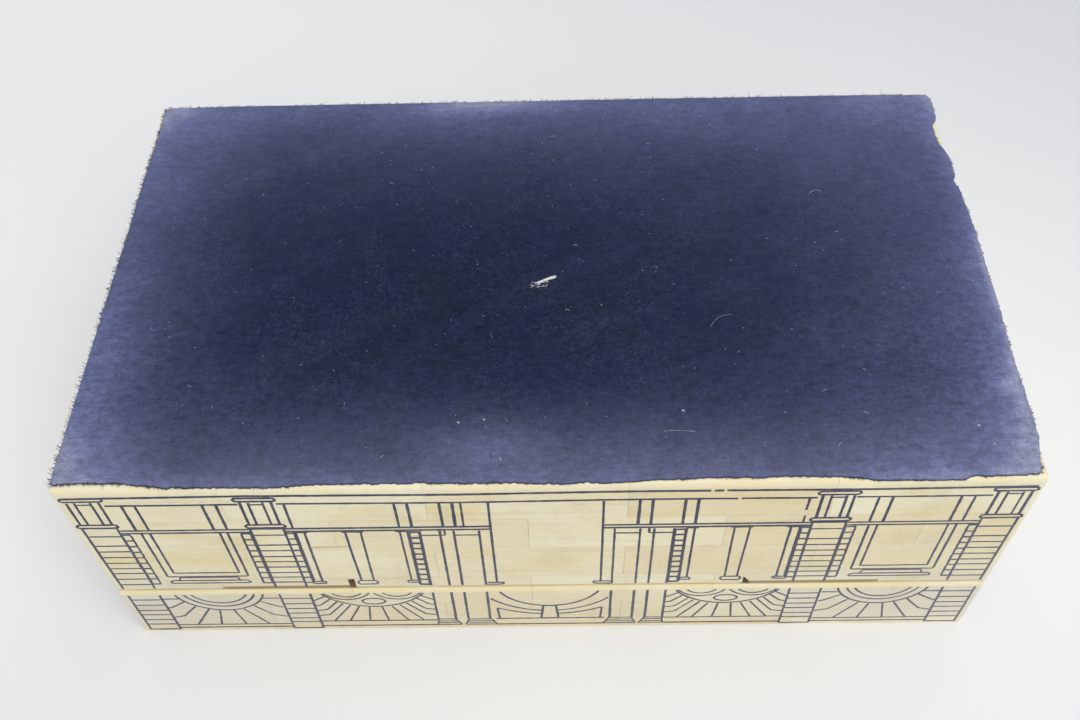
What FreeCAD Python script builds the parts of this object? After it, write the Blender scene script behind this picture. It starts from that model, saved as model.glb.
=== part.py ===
import FreeCAD, Part
import math
import os

import Sketcher

# A bone parquetry box, lying on its lid with its felted base upward.
# Origin: centre of the lid's outer face. +Z runs from the lid to the base, +Y to the hinges.

SIZES = {
    # Box
    "box_length": 256.0,
    "box_width": 149.6,
    "lid_height": 29.1,
    "case_height": 56.2,
    "seam_gap": 0.2,
    # Wooden carcass
    "wall_thickness": 8.0,
    "lid_panel_thickness": 6.0,
    "base_panel_thickness": 6.0,
    "panel_rebate": 4.0,
    "corner_lap": 4.0,
    # Bone slips
    "bone_thickness": 4.0,
    "tile_length": 53.2,
    "tile_joint": 0.06,
    "course_one": 17.8,
    "course_two": 17.4,
    "course_three": 17.2,
    "course_four": 16.0,
    "lid_course": 18.7,
    # Rounded edges of the bone
    "rim_round": 3.6,
    "foot_round": 1.8,
    "lid_edge_round": 1.2,
    "corner_round": 1.0,
    # Two shallow cuts along the front of the case's rim, each with a chip at its inner end
    "relief_length": 38.5,
    "relief_height": 1.2,
    "relief_setback": 32.0,
    "chip_width": 1.9,
    "chip_height": 5.0,
    # Felt
    "felt_thickness": 1.0,
    "felt_inset": 0.3,
    "lining_thickness": 0.8,
    "lining_margin": 0.4,
    # Brass butt hinges
    "hinge_length": 38.0,
    "hinge_setback": 52.0,
    "hinge_inset": 3.0,
    "leaf_width": 7.0,
    "leaf_thickness": 1.2,
    "knuckle_radius": 2.2,
    "knuckle_clearance": 0.3,
    "mortise_clearance": 0.2,
    "pin_radius": 1.1,
    "pin_clearance": 0.05,
    "stop_angle": 102.0,
    # Countersunk screws of the hinges, their heads as deep as a leaf
    "screw_spacing": 22.0,
    "screw_setback": 4.4,
    "screw_head_radius": 1.7,
    "screw_shank_radius": 0.9,
    "screw_length": 8.0,
    "screw_clearance": 0.05,
    "slot_width": 0.5,
    "slot_depth": 0.4,
    # Every cutting tool runs past what it cuts by this much
    "overrun": 2.0,
}

# Heights and depths that many pieces share, in the sheet's own words
RIM = "(Sizes.lid_height + Sizes.seam_gap)"
FOOT = f"({RIM} + Sizes.case_height)"
AXIS_Y = "(Sizes.box_width / 2 - Sizes.hinge_inset)"
AXIS_Z = "(Sizes.lid_height + Sizes.seam_gap / 2)"
SKIN_X = "(Sizes.box_length / 2 - Sizes.bone_thickness)"
SKIN_Y = "(Sizes.box_width / 2 - Sizes.bone_thickness)"
INNER_X = f"({SKIN_X} - Sizes.wall_thickness)"
INNER_Y = f"({SKIN_Y} - Sizes.wall_thickness)"
BEVEL_SLOPE = "tan(Sizes.stop_angle * 1 deg / 2)"
KNUCKLE_ROOM = "(Sizes.knuckle_radius + Sizes.knuckle_clearance)"
HINGE_X = "(Sizes.box_length / 2 - Sizes.hinge_setback)"

# The knuckles of one hinge: where the middle one, which the case carries, begins and ends
MIDDLE_KNUCKLE_SHARES = (1 / 3, 2 / 3)
# Alternate courses start with a whole or a half tile
BOND_SHARES = (0.0, 0.5)
# How far up the other chip's height the pointed chip reaches
CHIP_POINT_SHARE = 0.8
# Screw shanks are hidden in the wood, so they have few flat sides
SHANK_SIDES = 8
SIDES = {"left": -1, "right": 1}

doc = FreeCAD.newDocument("bone_parquetry_box")
sheet = doc.addObject("Spreadsheet::Sheet", "Sizes")


def fill_sheet():
    """Write the driving dimensions, one aliased cell each."""
    for row, (alias, value) in enumerate(SIZES.items(), start=1):
        sheet.set(f"A{row}", alias)
        sheet.set(f"B{row}", str(value))
        sheet.setAlias(f"B{row}", alias)
    doc.recompute()


def size(alias):
    """A driving dimension as a number."""
    return float(sheet.get(alias))


def bind(obj, **expressions):
    """Bind properties of an object to expressions on the sheet."""
    for name, expression in expressions.items():
        obj.setExpression(name, str(expression))


def place(obj, x="0", y="0", z="0"):
    """Bind the position of an object to expressions on the sheet."""
    for axis, expression in zip("xyz", (x, y, z)):
        obj.setExpression(f"Placement.Base.{axis}", str(expression))
    return obj


def box(name, low, high):
    """A box between two corners, each given as three expressions."""
    block = doc.addObject("Part::Box", name)
    lengths = [f"({b}) - ({a})" for a, b in zip(low, high)]
    bind(block, Length=lengths[0], Width=lengths[1], Height=lengths[2])
    return place(block, *low)


def rod_along_x(name, radius, length, centre):
    """A cylinder along X about a centre point, all given as expressions."""
    rod = doc.addObject("Part::Cylinder", name)
    rod.Placement.Rotation = FreeCAD.Rotation(FreeCAD.Vector(0, 1, 0), 90)
    bind(rod, Radius=radius, Height=length)
    return place(rod, f"({centre[0]}) - ({length}) / 2", centre[1], centre[2])


def compound(name, objects):
    """Several separate solids in one object."""
    group = doc.addObject("Part::Compound", name)
    group.Links = objects
    return group


def fuse(name, objects):
    """One tool made of several that may overlap."""
    joined = doc.addObject("Part::MultiFuse", name)
    joined.Shapes = objects
    return joined


def cut(name, base, tool):
    """A base with a tool taken away."""
    result = doc.addObject("Part::Cut", name)
    result.Base = base
    result.Tool = tool
    return result


def common(name, base, tool):
    """What two objects share."""
    result = doc.addObject("Part::Common", name)
    result.Base = base
    result.Tool = tool
    return result


def new_sketch(body, name, role):
    """An empty sketch on one of a body's own origin planes."""
    sketch = body.newObject("Sketcher::SketchObject", name)
    plane = next(f for f in body.Origin.OriginFeatures if f.Role == role)
    sketch.AttachmentSupport = [(plane, "")]
    sketch.MapMode = "FlatFace"
    return sketch


def outline(sketch, points):
    """Draw a closed outline whose corners are bound to pairs of expressions."""
    first = sketch.GeometryCount
    count = len(points)
    turns = [i * math.tau / count for i in range(count)]
    start = [FreeCAD.Vector(math.cos(turn), math.sin(turn), 0) for turn in turns]
    for i in range(count):
        sketch.addGeometry(Part.LineSegment(start[i], start[(i + 1) % count]), False)
    for i in range(count):
        sketch.addConstraint(Sketcher.Constraint("Coincident", first + i, 2, first + (i + 1) % count, 1))
    for i, (across, up) in enumerate(points):
        for kind, expression in (("DistanceX", across), ("DistanceY", up)):
            index = sketch.addConstraint(Sketcher.Constraint(kind, -1, 1, first + i, 1, start[i].Length))
            sketch.setExpression(f"Constraints[{index}]", str(expression))


def pad(body, name, sketch, length):
    """Pad a sketch to both sides of its plane."""
    feature = body.newObject("PartDesign::Pad", name)
    feature.Profile = sketch
    feature.SideType = "Symmetric"
    bind(feature, Length=length)
    return feature


def pocket_through(body, name, sketch):
    """Cut a sketch right through the body, to both sides of its plane."""
    feature = body.newObject("PartDesign::Pocket", name)
    feature.Profile = sketch
    feature.SideType = "Symmetric"
    feature.Type = "ThroughAll"
    return feature


def rectangle(low, high):
    """The corners of a rectangle between two points given as expressions."""
    return [(low[0], low[1]), (high[0], low[1]), (high[0], high[1]), (low[0], high[1])]


def profile_body(name, role, points, length):
    """A body that is one closed profile padded to both sides of its plane."""
    body = doc.addObject("PartDesign::Body", name)
    sketch = new_sketch(body, f"{name}_profile", role)
    outline(sketch, points)
    pad(body, f"{name}_pad", sketch, length)
    return body


def round_edges(body, name, radius, keep):
    """Fillet the edges of a body's last feature whose middle point passes a test."""
    doc.recompute()
    base = body.Tip
    chosen = []
    for number, edge in enumerate(base.Shape.Edges, start=1):
        if keep(edge.BoundBox.Center):
            chosen.append(f"Edge{number}")
    fillet = body.newObject("PartDesign::Fillet", name)
    fillet.Base = (base, chosen)
    bind(fillet, Radius=radius)
    return fillet


def near(value, target):
    """Whether two lengths are the same, to well under a joint's width."""
    return abs(value - target) < size("tile_joint") / 2


def box_form(name, low, high, edge_rounds):
    """The rounded outer form of the lid or of the case: what three rounded blocks share.

    edge_rounds holds, for the foot or outer face and for the rim, the rounding's size and its height.
    """
    half_x, half_y = "Sizes.box_length / 2", "Sizes.box_width / 2"
    length_profile = rectangle((f"-({half_x})", low), (half_x, high))
    width_profile = rectangle((f"-({half_y})", low), (half_y, high))
    plan = rectangle((f"-({half_x})", f"-({half_y})"), (half_x, half_y))
    across = profile_body(f"{name}_ends", "XZ_Plane", length_profile, "Sizes.box_width")
    along = profile_body(f"{name}_sides", "YZ_Plane", width_profile, "Sizes.box_length")
    upright = profile_body(f"{name}_corners", "XY_Plane", plan, f"2 * ({high})")
    end_x, side_y = size("box_length") / 2, size("box_width") / 2
    for number, (radius, height, round_back) in enumerate(edge_rounds):
        def on_end(middle, height=height):
            return near(abs(middle.x), end_x) and near(middle.z, height)

        def on_side(middle, height=height, round_back=round_back):
            back = near(middle.y, side_y) and round_back
            return (near(middle.y, -side_y) or back) and near(middle.z, height)

        round_edges(across, f"{name}_end_round_{number}", radius, on_end)
        round_edges(along, f"{name}_side_round_{number}", radius, on_side)

    def on_corner(middle):
        return near(abs(middle.x), end_x) and near(abs(middle.y), side_y)

    round_edges(upright, f"{name}_corner_round", "Sizes.corner_round", on_corner)
    return common(f"{name}_form", common(f"{name}_rounded", across, along), upright)


def bevelled(name, form, rim, turn):
    """Bevel the back of a rim outward from the hinge axis, so that lid and case stop against each other."""
    out_y = "(Sizes.box_width / 2 + Sizes.overrun)"
    reach = f"({out_y} - {AXIS_Y}) * {BEVEL_SLOPE}"
    past = f"{rim} - ({turn}) * Sizes.overrun"
    points = [(AXIS_Y, rim), (out_y, f"{rim} + ({turn}) * {reach}"), (out_y, past), (AXIS_Y, past)]
    wedge = profile_body(f"{name}_bevel", "YZ_Plane", points, "Sizes.box_length + 2 * Sizes.overrun")
    return cut(name, form, wedge)


def lid_form():
    """The outer form of the lid, from its outer face at zero to its rim."""
    rounds = [("Sizes.lid_edge_round", 0.0, True), ("Sizes.rim_round", size("lid_height"), False)]
    return bevelled("lid_block", box_form("lid", "0", "Sizes.lid_height", rounds), "Sizes.lid_height", -1)


def case_form():
    """The outer form of the case, from its rim to its foot."""
    foot = size("lid_height") + size("seam_gap") + size("case_height")
    return bevelled("case_block", box_form("case", RIM, FOOT, [("Sizes.foot_round", foot, True)]), RIM, 1)


def course_levels():
    """The heights where one course of slips ends and the next begins, as expressions."""
    levels = ["Sizes.bone_thickness"]
    height = "0"
    for course in ("course_one", "course_two", "course_three", "course_four"):
        height = f"{height} + Sizes.{course}"
        levels.append(f"({height})")
    return levels + [FOOT]


def tile_row(name, start, run, bond_share, make_tile):
    """One course of tiles, counted from the end where the first whole tile lies."""
    count = math.ceil(run / size("tile_length") + bond_share)
    tiles = []
    for number in range(count):
        near_end = f"{start} - ({number} - {bond_share}) * Sizes.tile_length - Sizes.tile_joint / 2"
        far_end = f"{start} - ({number + 1} - {bond_share}) * Sizes.tile_length + Sizes.tile_joint / 2"
        tiles.append(make_tile(f"{name}_{number}", far_end, near_end))
    return tiles


def long_side_tiles(side, front):
    """All courses of the front or the back, laid before lid and case are sawn apart."""
    outer = "(Sizes.box_width / 2 + Sizes.overrun)"
    low_y, high_y = (f"-{outer}", f"-{SKIN_Y}") if front else (SKIN_Y, outer)
    levels = course_levels()
    tiles = []
    for row in range(len(levels) - 1):
        bottom, top = f"{levels[row]} + Sizes.tile_joint / 2", f"{levels[row + 1]} - Sizes.tile_joint / 2"

        def tile(name, low_x, high_x, bottom=bottom, top=top):
            return box(name, (low_x, low_y, bottom), (high_x, high_y, top))

        bond_share = BOND_SHARES[row % 2]
        tiles += tile_row(f"{side}_row_{row}", "Sizes.box_length / 2", size("box_length"), bond_share, tile)
    return compound(f"{side}_tiles", tiles)


def end_tiles(side, sign):
    """All courses of one end, between the slips of front and back."""
    outer = "(Sizes.box_length / 2 + Sizes.overrun)"
    low_x, high_x = (SKIN_X, outer) if sign > 0 else (f"-{outer}", f"-{SKIN_X}")
    run = size("box_width") - 2 * size("bone_thickness")
    levels = course_levels()
    tiles = []
    for row in range(len(levels) - 1):
        bottom, top = f"{levels[row]} + Sizes.tile_joint / 2", f"{levels[row + 1]} - Sizes.tile_joint / 2"

        def tile(name, low_y, high_y, bottom=bottom, top=top):
            return box(name, (low_x, low_y, bottom), (high_x, high_y, top))

        tiles += tile_row(f"{side}_row_{row}", SKIN_Y, run, BOND_SHARES[row % 2], tile)
    room = box(f"{side}_room", (low_x, f"-{SKIN_Y}", "0"), (high_x, SKIN_Y, FOOT))
    return common(f"{side}_tiles", compound(f"{side}_rows", tiles), room)


def lid_top_tiles():
    """The courses of slips on the lid's outer face."""
    count = math.ceil(size("box_width") / size("lid_course"))
    tiles = []
    for row in range(count):
        low_y = f"-Sizes.box_width / 2 + {row} * Sizes.lid_course + Sizes.tile_joint / 2"
        high_y = f"-Sizes.box_width / 2 + {row + 1} * Sizes.lid_course - Sizes.tile_joint / 2"

        def tile(name, low_x, high_x, low_y=low_y, high_y=high_y):
            return box(name, (low_x, low_y, "-Sizes.overrun"), (high_x, high_y, "Sizes.bone_thickness"))

        bond_share = BOND_SHARES[row % 2]
        tiles += tile_row(f"top_row_{row}", "Sizes.box_length / 2", size("box_length"), bond_share, tile)
    return compound("top_tiles", tiles)


def front_reliefs():
    """The two shallow cuts along the front rim of the case, with the chips at their inner ends."""
    outer, inner = "-(Sizes.box_width / 2 + Sizes.overrun)", f"-{SKIN_Y}"
    below = f"{RIM} - Sizes.overrun"
    end = "(Sizes.box_length / 2 - Sizes.relief_setback)"
    start = f"({end} - Sizes.relief_length)"
    tools = []
    for side, sign in SIDES.items():
        low_x, high_x = (start, end) if sign > 0 else (f"-{end}", f"-{start}")
        top = f"{RIM} + Sizes.relief_height"
        tools.append(box(f"relief_{side}", (low_x, outer, below), (high_x, inner, top)))
    chip_low = f"-{start} - Sizes.chip_width / 2"
    chip_high = f"-{start} + Sizes.chip_width / 2"
    tools.append(box("chip_left", (chip_low, outer, below), (chip_high, inner, f"{RIM} + Sizes.chip_height")))
    point, tail = f"{start} - Sizes.chip_width / 2", f"{start} + Sizes.chip_width"
    peak = f"{RIM} + {CHIP_POINT_SHARE} * Sizes.chip_height"
    corners = [(point, below), (tail, below), (tail, RIM), (point, peak)]
    chip = profile_body("chip_right", "XZ_Plane", corners, "Sizes.box_width + 2 * Sizes.overrun")
    room = box("chip_right_room", (f"-{SKIN_X}", outer, below), (SKIN_X, inner, FOOT))
    tools.append(common("chip_right_front", chip, room))
    return fuse("front_reliefs", tools)


def hinge_room(body_name, sign):
    """What the two hinges need cut away from one half's back rim: leaf, knuckles and screws."""
    rim = "Sizes.lid_height" if sign < 0 else RIM
    seat = f"{rim} + ({sign}) * Sizes.leaf_thickness"
    over = f"{rim} - ({sign}) * Sizes.overrun"
    low_z, high_z = (seat, over) if sign < 0 else (over, seat)
    length = "(Sizes.hinge_length + 2 * Sizes.mortise_clearance)"
    tools = []
    for side, turn in SIDES.items():
        start, end = f"({turn}) * {HINGE_X} - {length} / 2", f"({turn}) * {HINGE_X} + {length} / 2"
        inner = f"{AXIS_Y} - Sizes.leaf_width - Sizes.mortise_clearance"
        tools.append(box(f"{body_name}_{side}_mortise", (start, inner, low_z), (end, AXIS_Y, high_z)))
        low = (start, f"{AXIS_Y} - {KNUCKLE_ROOM}", f"{AXIS_Z} - {KNUCKLE_ROOM}")
        high = (end, f"{AXIS_Y} + {KNUCKLE_ROOM}", f"{AXIS_Z} + {KNUCKLE_ROOM}")
        tools.append(box(f"{body_name}_{side}_recess", low, high))
        for place_turn in SIDES.values():
            tools.append(screw_hole(f"{body_name}_{side}_hole", turn, place_turn, sign))
    return fuse(f"{body_name}_hinge_room", tools)


def screw_place(turn, end, sign):
    """Where one screw's head lies flush with its leaf, as three expressions."""
    rim = "Sizes.lid_height" if sign < 0 else RIM
    across = f"({turn}) * {HINGE_X} + ({end}) * Sizes.screw_spacing / 2"
    return across, f"{AXIS_Y} - Sizes.screw_setback", rim


def shank(name, radius, length):
    """A straight screw shank standing on the floor, its size given as expressions."""
    stem = doc.addObject("Part::Prism", name)
    stem.Polygon = SHANK_SIDES
    bind(stem, Circumradius=radius, Height=length)
    return stem


def screw_hole(name, turn, end, sign):
    """The hole of one screw in the wood, with its running clearance."""
    x, y, rim = screw_place(turn, end, sign)
    depth = "(Sizes.screw_length + Sizes.screw_clearance)"
    hole = shank(name, "Sizes.screw_shank_radius + Sizes.screw_clearance", depth)
    return place(hole, x, y, f"{rim} - {depth}" if sign < 0 else rim)


def flip(sign):
    """The turn that points a screw into the lid or into the case."""
    return FreeCAD.Rotation(FreeCAD.Vector(1, 0, 0), 0 if sign < 0 else 180)


def screw(name, turn, end, sign):
    """One countersunk screw: a slotted head, revolved from its half section, on a straight shank."""
    head = doc.addObject("PartDesign::Body", f"{name}_head")
    section = new_sketch(head, f"{name}_section", "XZ_Plane")
    wide, narrow, neck = "Sizes.screw_head_radius", "Sizes.screw_shank_radius", "-Sizes.leaf_thickness"
    outline(section, [("0", "0"), (wide, "0"), (narrow, neck), ("0", neck)])
    turned = head.newObject("PartDesign::Revolution", f"{name}_turned")
    turned.Profile = section
    turned.ReferenceAxis = (section, ["V_Axis"])
    slot = new_sketch(head, f"{name}_slot", "YZ_Plane")
    half = "Sizes.slot_width / 2"
    outline(slot, rectangle((f"-{half}", "-Sizes.slot_depth"), (half, "Sizes.overrun")))
    pocket_through(head, f"{name}_slot_cut", slot)
    head.Placement.Rotation = flip(sign)
    x, y, rim = screw_place(turn, end, sign)
    within = "Sizes.leaf_thickness / 2"
    stem = shank(f"{name}_shank", narrow, f"Sizes.screw_length - {within}")
    bottom = f"{rim} - Sizes.screw_length" if sign < 0 else f"{rim} + {within}"
    return fuse(name, [place(head, x, y, rim), place(stem, x, y, bottom)])


def screw_group(name, sign):
    """The screws of both hinges in one half of the box."""
    screws = []
    for side, turn in SIDES.items():
        for place_name, end in SIDES.items():
            screws.append(screw(f"{name}_{side}_{place_name}", turn, end, sign))
    return compound(name, screws)


def leaf(name, turn, sign, knuckle_spans):
    """One hinge leaf: a plate let into the rim, rolled into knuckles about the pin."""
    body = doc.addObject("PartDesign::Body", f"{name}_blank")
    face, back = f"({sign}) * Sizes.seam_gap / 2", f"({sign}) * (Sizes.seam_gap / 2 + Sizes.leaf_thickness)"
    low, high = (back, face) if sign < 0 else (face, back)
    plate = new_sketch(body, f"{name}_plate_profile", "YZ_Plane")
    outline(plate, rectangle(("-Sizes.leaf_width", low), ("0", high)))
    pad(body, f"{name}_plate", plate, "Sizes.hinge_length")
    roll = new_sketch(body, f"{name}_roll_profile", "YZ_Plane")
    ring(roll, "Sizes.knuckle_radius")
    pad(body, f"{name}_roll", roll, "Sizes.hinge_length")
    gaps = new_sketch(body, f"{name}_gap_plan", "XY_Plane")
    for start, end in knuckle_spans:
        outline(gaps, rectangle((start, f"-{KNUCKLE_ROOM}"), (end, KNUCKLE_ROOM)))
    pocket_through(body, f"{name}_gaps", gaps)
    bore = new_sketch(body, f"{name}_bore_profile", "YZ_Plane")
    ring(bore, "Sizes.pin_radius + Sizes.pin_clearance")
    pocket_through(body, f"{name}_bore", bore)
    place(body, f"({turn}) * {HINGE_X}", AXIS_Y, AXIS_Z)
    sinks = [countersink(f"{name}_sink", turn, end, sign) for end in SIDES.values()]
    return cut(name, body, compound(f"{name}_sinks", sinks))


def ring(sketch, radius):
    """A circle about a sketch's origin with a bound radius."""
    circle = Part.Circle(FreeCAD.Vector(0, 0, 0), FreeCAD.Vector(0, 0, 1), size("pin_radius"))
    index = sketch.addGeometry(circle, False)
    sketch.addConstraint(Sketcher.Constraint("Coincident", index, 3, -1, 1))
    bound = sketch.addConstraint(Sketcher.Constraint("Radius", index, size("pin_radius")))
    sketch.setExpression(f"Constraints[{bound}]", radius)


def countersink(name, turn, end, sign):
    """The tapered hole of one screw through a leaf."""
    sink = doc.addObject("Part::Cone", name)
    slope = "(Sizes.screw_head_radius - Sizes.screw_shank_radius) / Sizes.leaf_thickness"
    wide = "Sizes.screw_head_radius + Sizes.screw_clearance"
    depth = "(Sizes.leaf_thickness + Sizes.screw_clearance)"
    bind(sink, Radius1=f"{wide} - {depth} * {slope}", Radius2=f"{wide} + Sizes.overrun * {slope}")
    bind(sink, Height=f"{depth} + Sizes.overrun")
    x, y, rim = screw_place(turn, end, sign)
    sink.Placement.Rotation = flip(sign)
    return place(sink, x, y, f"{rim} + ({sign}) * {depth}")


def knuckle_ends():
    """Where the middle knuckle begins and ends along its hinge, as expressions."""
    middle_share = sum(MIDDLE_KNUCKLE_SHARES) / len(MIDDLE_KNUCKLE_SHARES)
    return [f"({share - middle_share}) * Sizes.hinge_length" for share in MIDDLE_KNUCKLE_SHARES]


def lid_leaf(side, turn):
    """The leaf that the lid carries, with the two outer knuckles."""
    start, end = knuckle_ends()
    gap = "Sizes.knuckle_clearance / 2"
    return leaf(f"hinge_{side}_lid_leaf", turn, -1, [(f"{start} - {gap}", f"{end} + {gap}")])


def case_leaf(side, turn):
    """The leaf that the case carries, with the middle knuckle."""
    start, end = knuckle_ends()
    gap, past = "Sizes.knuckle_clearance / 2", "(Sizes.hinge_length / 2 + Sizes.overrun)"
    spans = [(f"-{past}", f"{start} + {gap}"), (f"{end} - {gap}", past)]
    return leaf(f"hinge_{side}_case_leaf", turn, 1, spans)


def hinge_pin(side, turn):
    """The pin of one hinge, as long as its knuckles."""
    centre = (f"({turn}) * {HINGE_X}", AXIS_Y, AXIS_Z)
    return rod_along_x(f"hinge_{side}_pin", "Sizes.pin_radius", "Sizes.hinge_length", centre)


def wall_section(outer, inner, low, high, panel_low, panel_high):
    """The section of a wall whose inner face is rebated for a panel at one edge."""
    step = f"({inner} + Sizes.panel_rebate)"
    outside = [(outer, low), (outer, high)]
    if panel_low == low:
        return [(step, low), *outside, (inner, high), (inner, panel_high), (step, panel_high)]
    return [(inner, low), *outside, (step, high), (step, panel_low), (inner, panel_low)]


def mirrored_section(points):
    """A section moved to the other side of the box."""
    return [(f"-({across})", up) for across, up in points]


def long_wall(name, section, turn):
    """A wall along X, from end to end, with its ends lapped over those of the short walls."""
    points = section if turn > 0 else mirrored_section(section)
    body = profile_body(name, "YZ_Plane", points, f"2 * {SKIN_X}")
    laps = new_sketch(body, f"{name}_lap_plan", "XY_Plane")
    near_y, far_y = f"({INNER_Y} - Sizes.overrun)", f"({INNER_Y} + Sizes.corner_lap)"
    low_y, high_y = (near_y, far_y) if turn > 0 else (f"-{far_y}", f"-{near_y}")
    end_x = f"({SKIN_X} + Sizes.overrun)"
    outline(laps, rectangle((INNER_X, low_y), (end_x, high_y)))
    outline(laps, rectangle((f"-{end_x}", low_y), (f"-{INNER_X}", high_y)))
    pocket_through(body, f"{name}_laps", laps)
    return body


def short_wall(name, section, turn):
    """A wall along Y, held between the laps of the long walls."""
    points = section if turn > 0 else mirrored_section(section)
    return profile_body(name, "XZ_Plane", points, f"2 * ({INNER_Y} + Sizes.corner_lap)")


def four_walls(prefix, word, low, high, panel_low, panel_high):
    """The wooden frame of the lid or of the case, the back wall left under a working name."""
    levels = (low, high, panel_low, panel_high)
    long_section = wall_section(SKIN_Y, INNER_Y, *levels)
    short_section = wall_section(SKIN_X, INNER_X, *levels)
    walls = {f"{prefix}_front_{word}": long_wall(f"{prefix}_front_{word}", long_section, -1)}
    for side, turn in SIDES.items():
        name = f"{prefix}_{side}_{word}"
        walls[name] = short_wall(name, short_section, turn)
    return walls, long_wall(f"{prefix}_back_blank", long_section, 1)


def slab(name, half_x, half_y, low, high):
    """A flat panel or sheet centred on the box."""
    return box(name, (f"-({half_x})", f"-({half_y})", low), (half_x, half_y, high))


def lid_wood():
    """The lid's rails and panel."""
    face = "Sizes.bone_thickness"
    top = f"({face} + Sizes.lid_panel_thickness)"
    walls, back = four_walls("lid", "rail", face, "Sizes.lid_height", face, top)
    walls["lid_back_rail"] = cut("lid_back_rail", back, hinge_room("lid_rail", -1))
    half_x, half_y = f"{INNER_X} + Sizes.panel_rebate", f"{INNER_Y} + Sizes.panel_rebate"
    walls["lid_panel"] = slab("lid_panel", half_x, half_y, face, top)
    half_x, half_y = f"{INNER_X} - Sizes.lining_margin", f"{INNER_Y} - Sizes.lining_margin"
    walls["lid_lining"] = slab("lid_lining", half_x, half_y, top, f"{top} + Sizes.lining_thickness")
    return walls


def case_wood():
    """The case's boards, base panel and felts."""
    floor = f"({FOOT} - Sizes.base_panel_thickness)"
    walls, back = four_walls("case", "board", RIM, FOOT, floor, FOOT)
    walls["case_back_board"] = cut("case_back_board", back, hinge_room("case_board", 1))
    half_x, half_y = f"{INNER_X} + Sizes.panel_rebate", f"{INNER_Y} + Sizes.panel_rebate"
    walls["case_base_panel"] = slab("case_base_panel", half_x, half_y, floor, FOOT)
    half_x, half_y = f"{INNER_X} - Sizes.lining_margin", f"{INNER_Y} - Sizes.lining_margin"
    walls["case_lining"] = slab("case_lining", half_x, half_y, f"{floor} - Sizes.lining_thickness", floor)
    half_x, half_y = "Sizes.box_length / 2 - Sizes.felt_inset", "Sizes.box_width / 2 - Sizes.felt_inset"
    walls["base_felt"] = slab("base_felt", half_x, half_y, FOOT, f"{FOOT} + Sizes.felt_thickness")
    return walls


def bone_slips():
    """The bone of lid and case: courses laid over both, trimmed to the two rounded forms."""
    forms = {"lid": lid_form(), "case": case_form()}
    tiles = {"front": long_side_tiles("front", True), "back": long_side_tiles("back", False)}
    for side, sign in SIDES.items():
        tiles[side] = end_tiles(side, sign)
    bones = {"lid_top_bone": common("lid_top_bone", forms["lid"], lid_top_tiles())}
    for half, form in forms.items():
        for side in SIDES:
            name = f"{half}_{side}_bone"
            bones[name] = common(name, form, tiles[side])
    bones["lid_front_bone"] = common("lid_front_bone", forms["lid"], tiles["front"])
    whole_front = common("case_front_whole", forms["case"], tiles["front"])
    bones["case_front_bone"] = cut("case_front_bone", whole_front, front_reliefs())
    for half, sign in (("lid", -1), ("case", 1)):
        whole_back = common(f"{half}_back_whole", forms[half], tiles["back"])
        bones[f"{half}_back_bone"] = cut(f"{half}_back_bone", whole_back, hinge_room(f"{half}_bone", sign))
    return bones


def hinges():
    """Both hinges with their pins and screws."""
    pieces = {}
    for half, sign in (("lid", -1), ("case", 1)):
        pieces[f"{half}_leaf_screws"] = screw_group(f"{half}_leaf_screws", sign)
    for side, turn in SIDES.items():
        pieces[f"hinge_{side}_lid_leaf"] = lid_leaf(side, turn)
        pieces[f"hinge_{side}_case_leaf"] = case_leaf(side, turn)
        pieces[f"hinge_{side}_pin"] = hinge_pin(side, turn)
    return pieces


def check(pieces):
    """Stop unless every object is sound and every piece is a valid solid or group of solids."""
    failed = [obj.Name for obj in doc.Objects if {"Invalid", "Error"} & set(obj.State)]
    if failed:
        raise RuntimeError("failed objects: " + ", ".join(failed))
    for name, piece in pieces.items():
        shape = piece.Shape
        if shape.isNull() or not shape.isValid() or not shape.Solids:
            raise RuntimeError("unsound piece: " + name)


def write(pieces):
    """Write each piece to its own file."""
    os.makedirs("parts", exist_ok=True)
    for name, piece in pieces.items():
        piece.Label = name
        piece.Shape.exportStep(f"parts/{name}.step")


fill_sheet()
PIECES = {**lid_wood(), **case_wood(), **bone_slips(), **hinges()}
doc.recompute()
check(PIECES)
write(PIECES)
print(len(PIECES), "pieces,", sum(len(piece.Shape.Solids) for piece in PIECES.values()), "solids")
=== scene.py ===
import logging
import math
import random
from dataclasses import dataclass, field
from enum import Enum
from typing import Iterable, Sequence

import bmesh
import bpy
from mathutils import Euler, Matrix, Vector, noise


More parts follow.
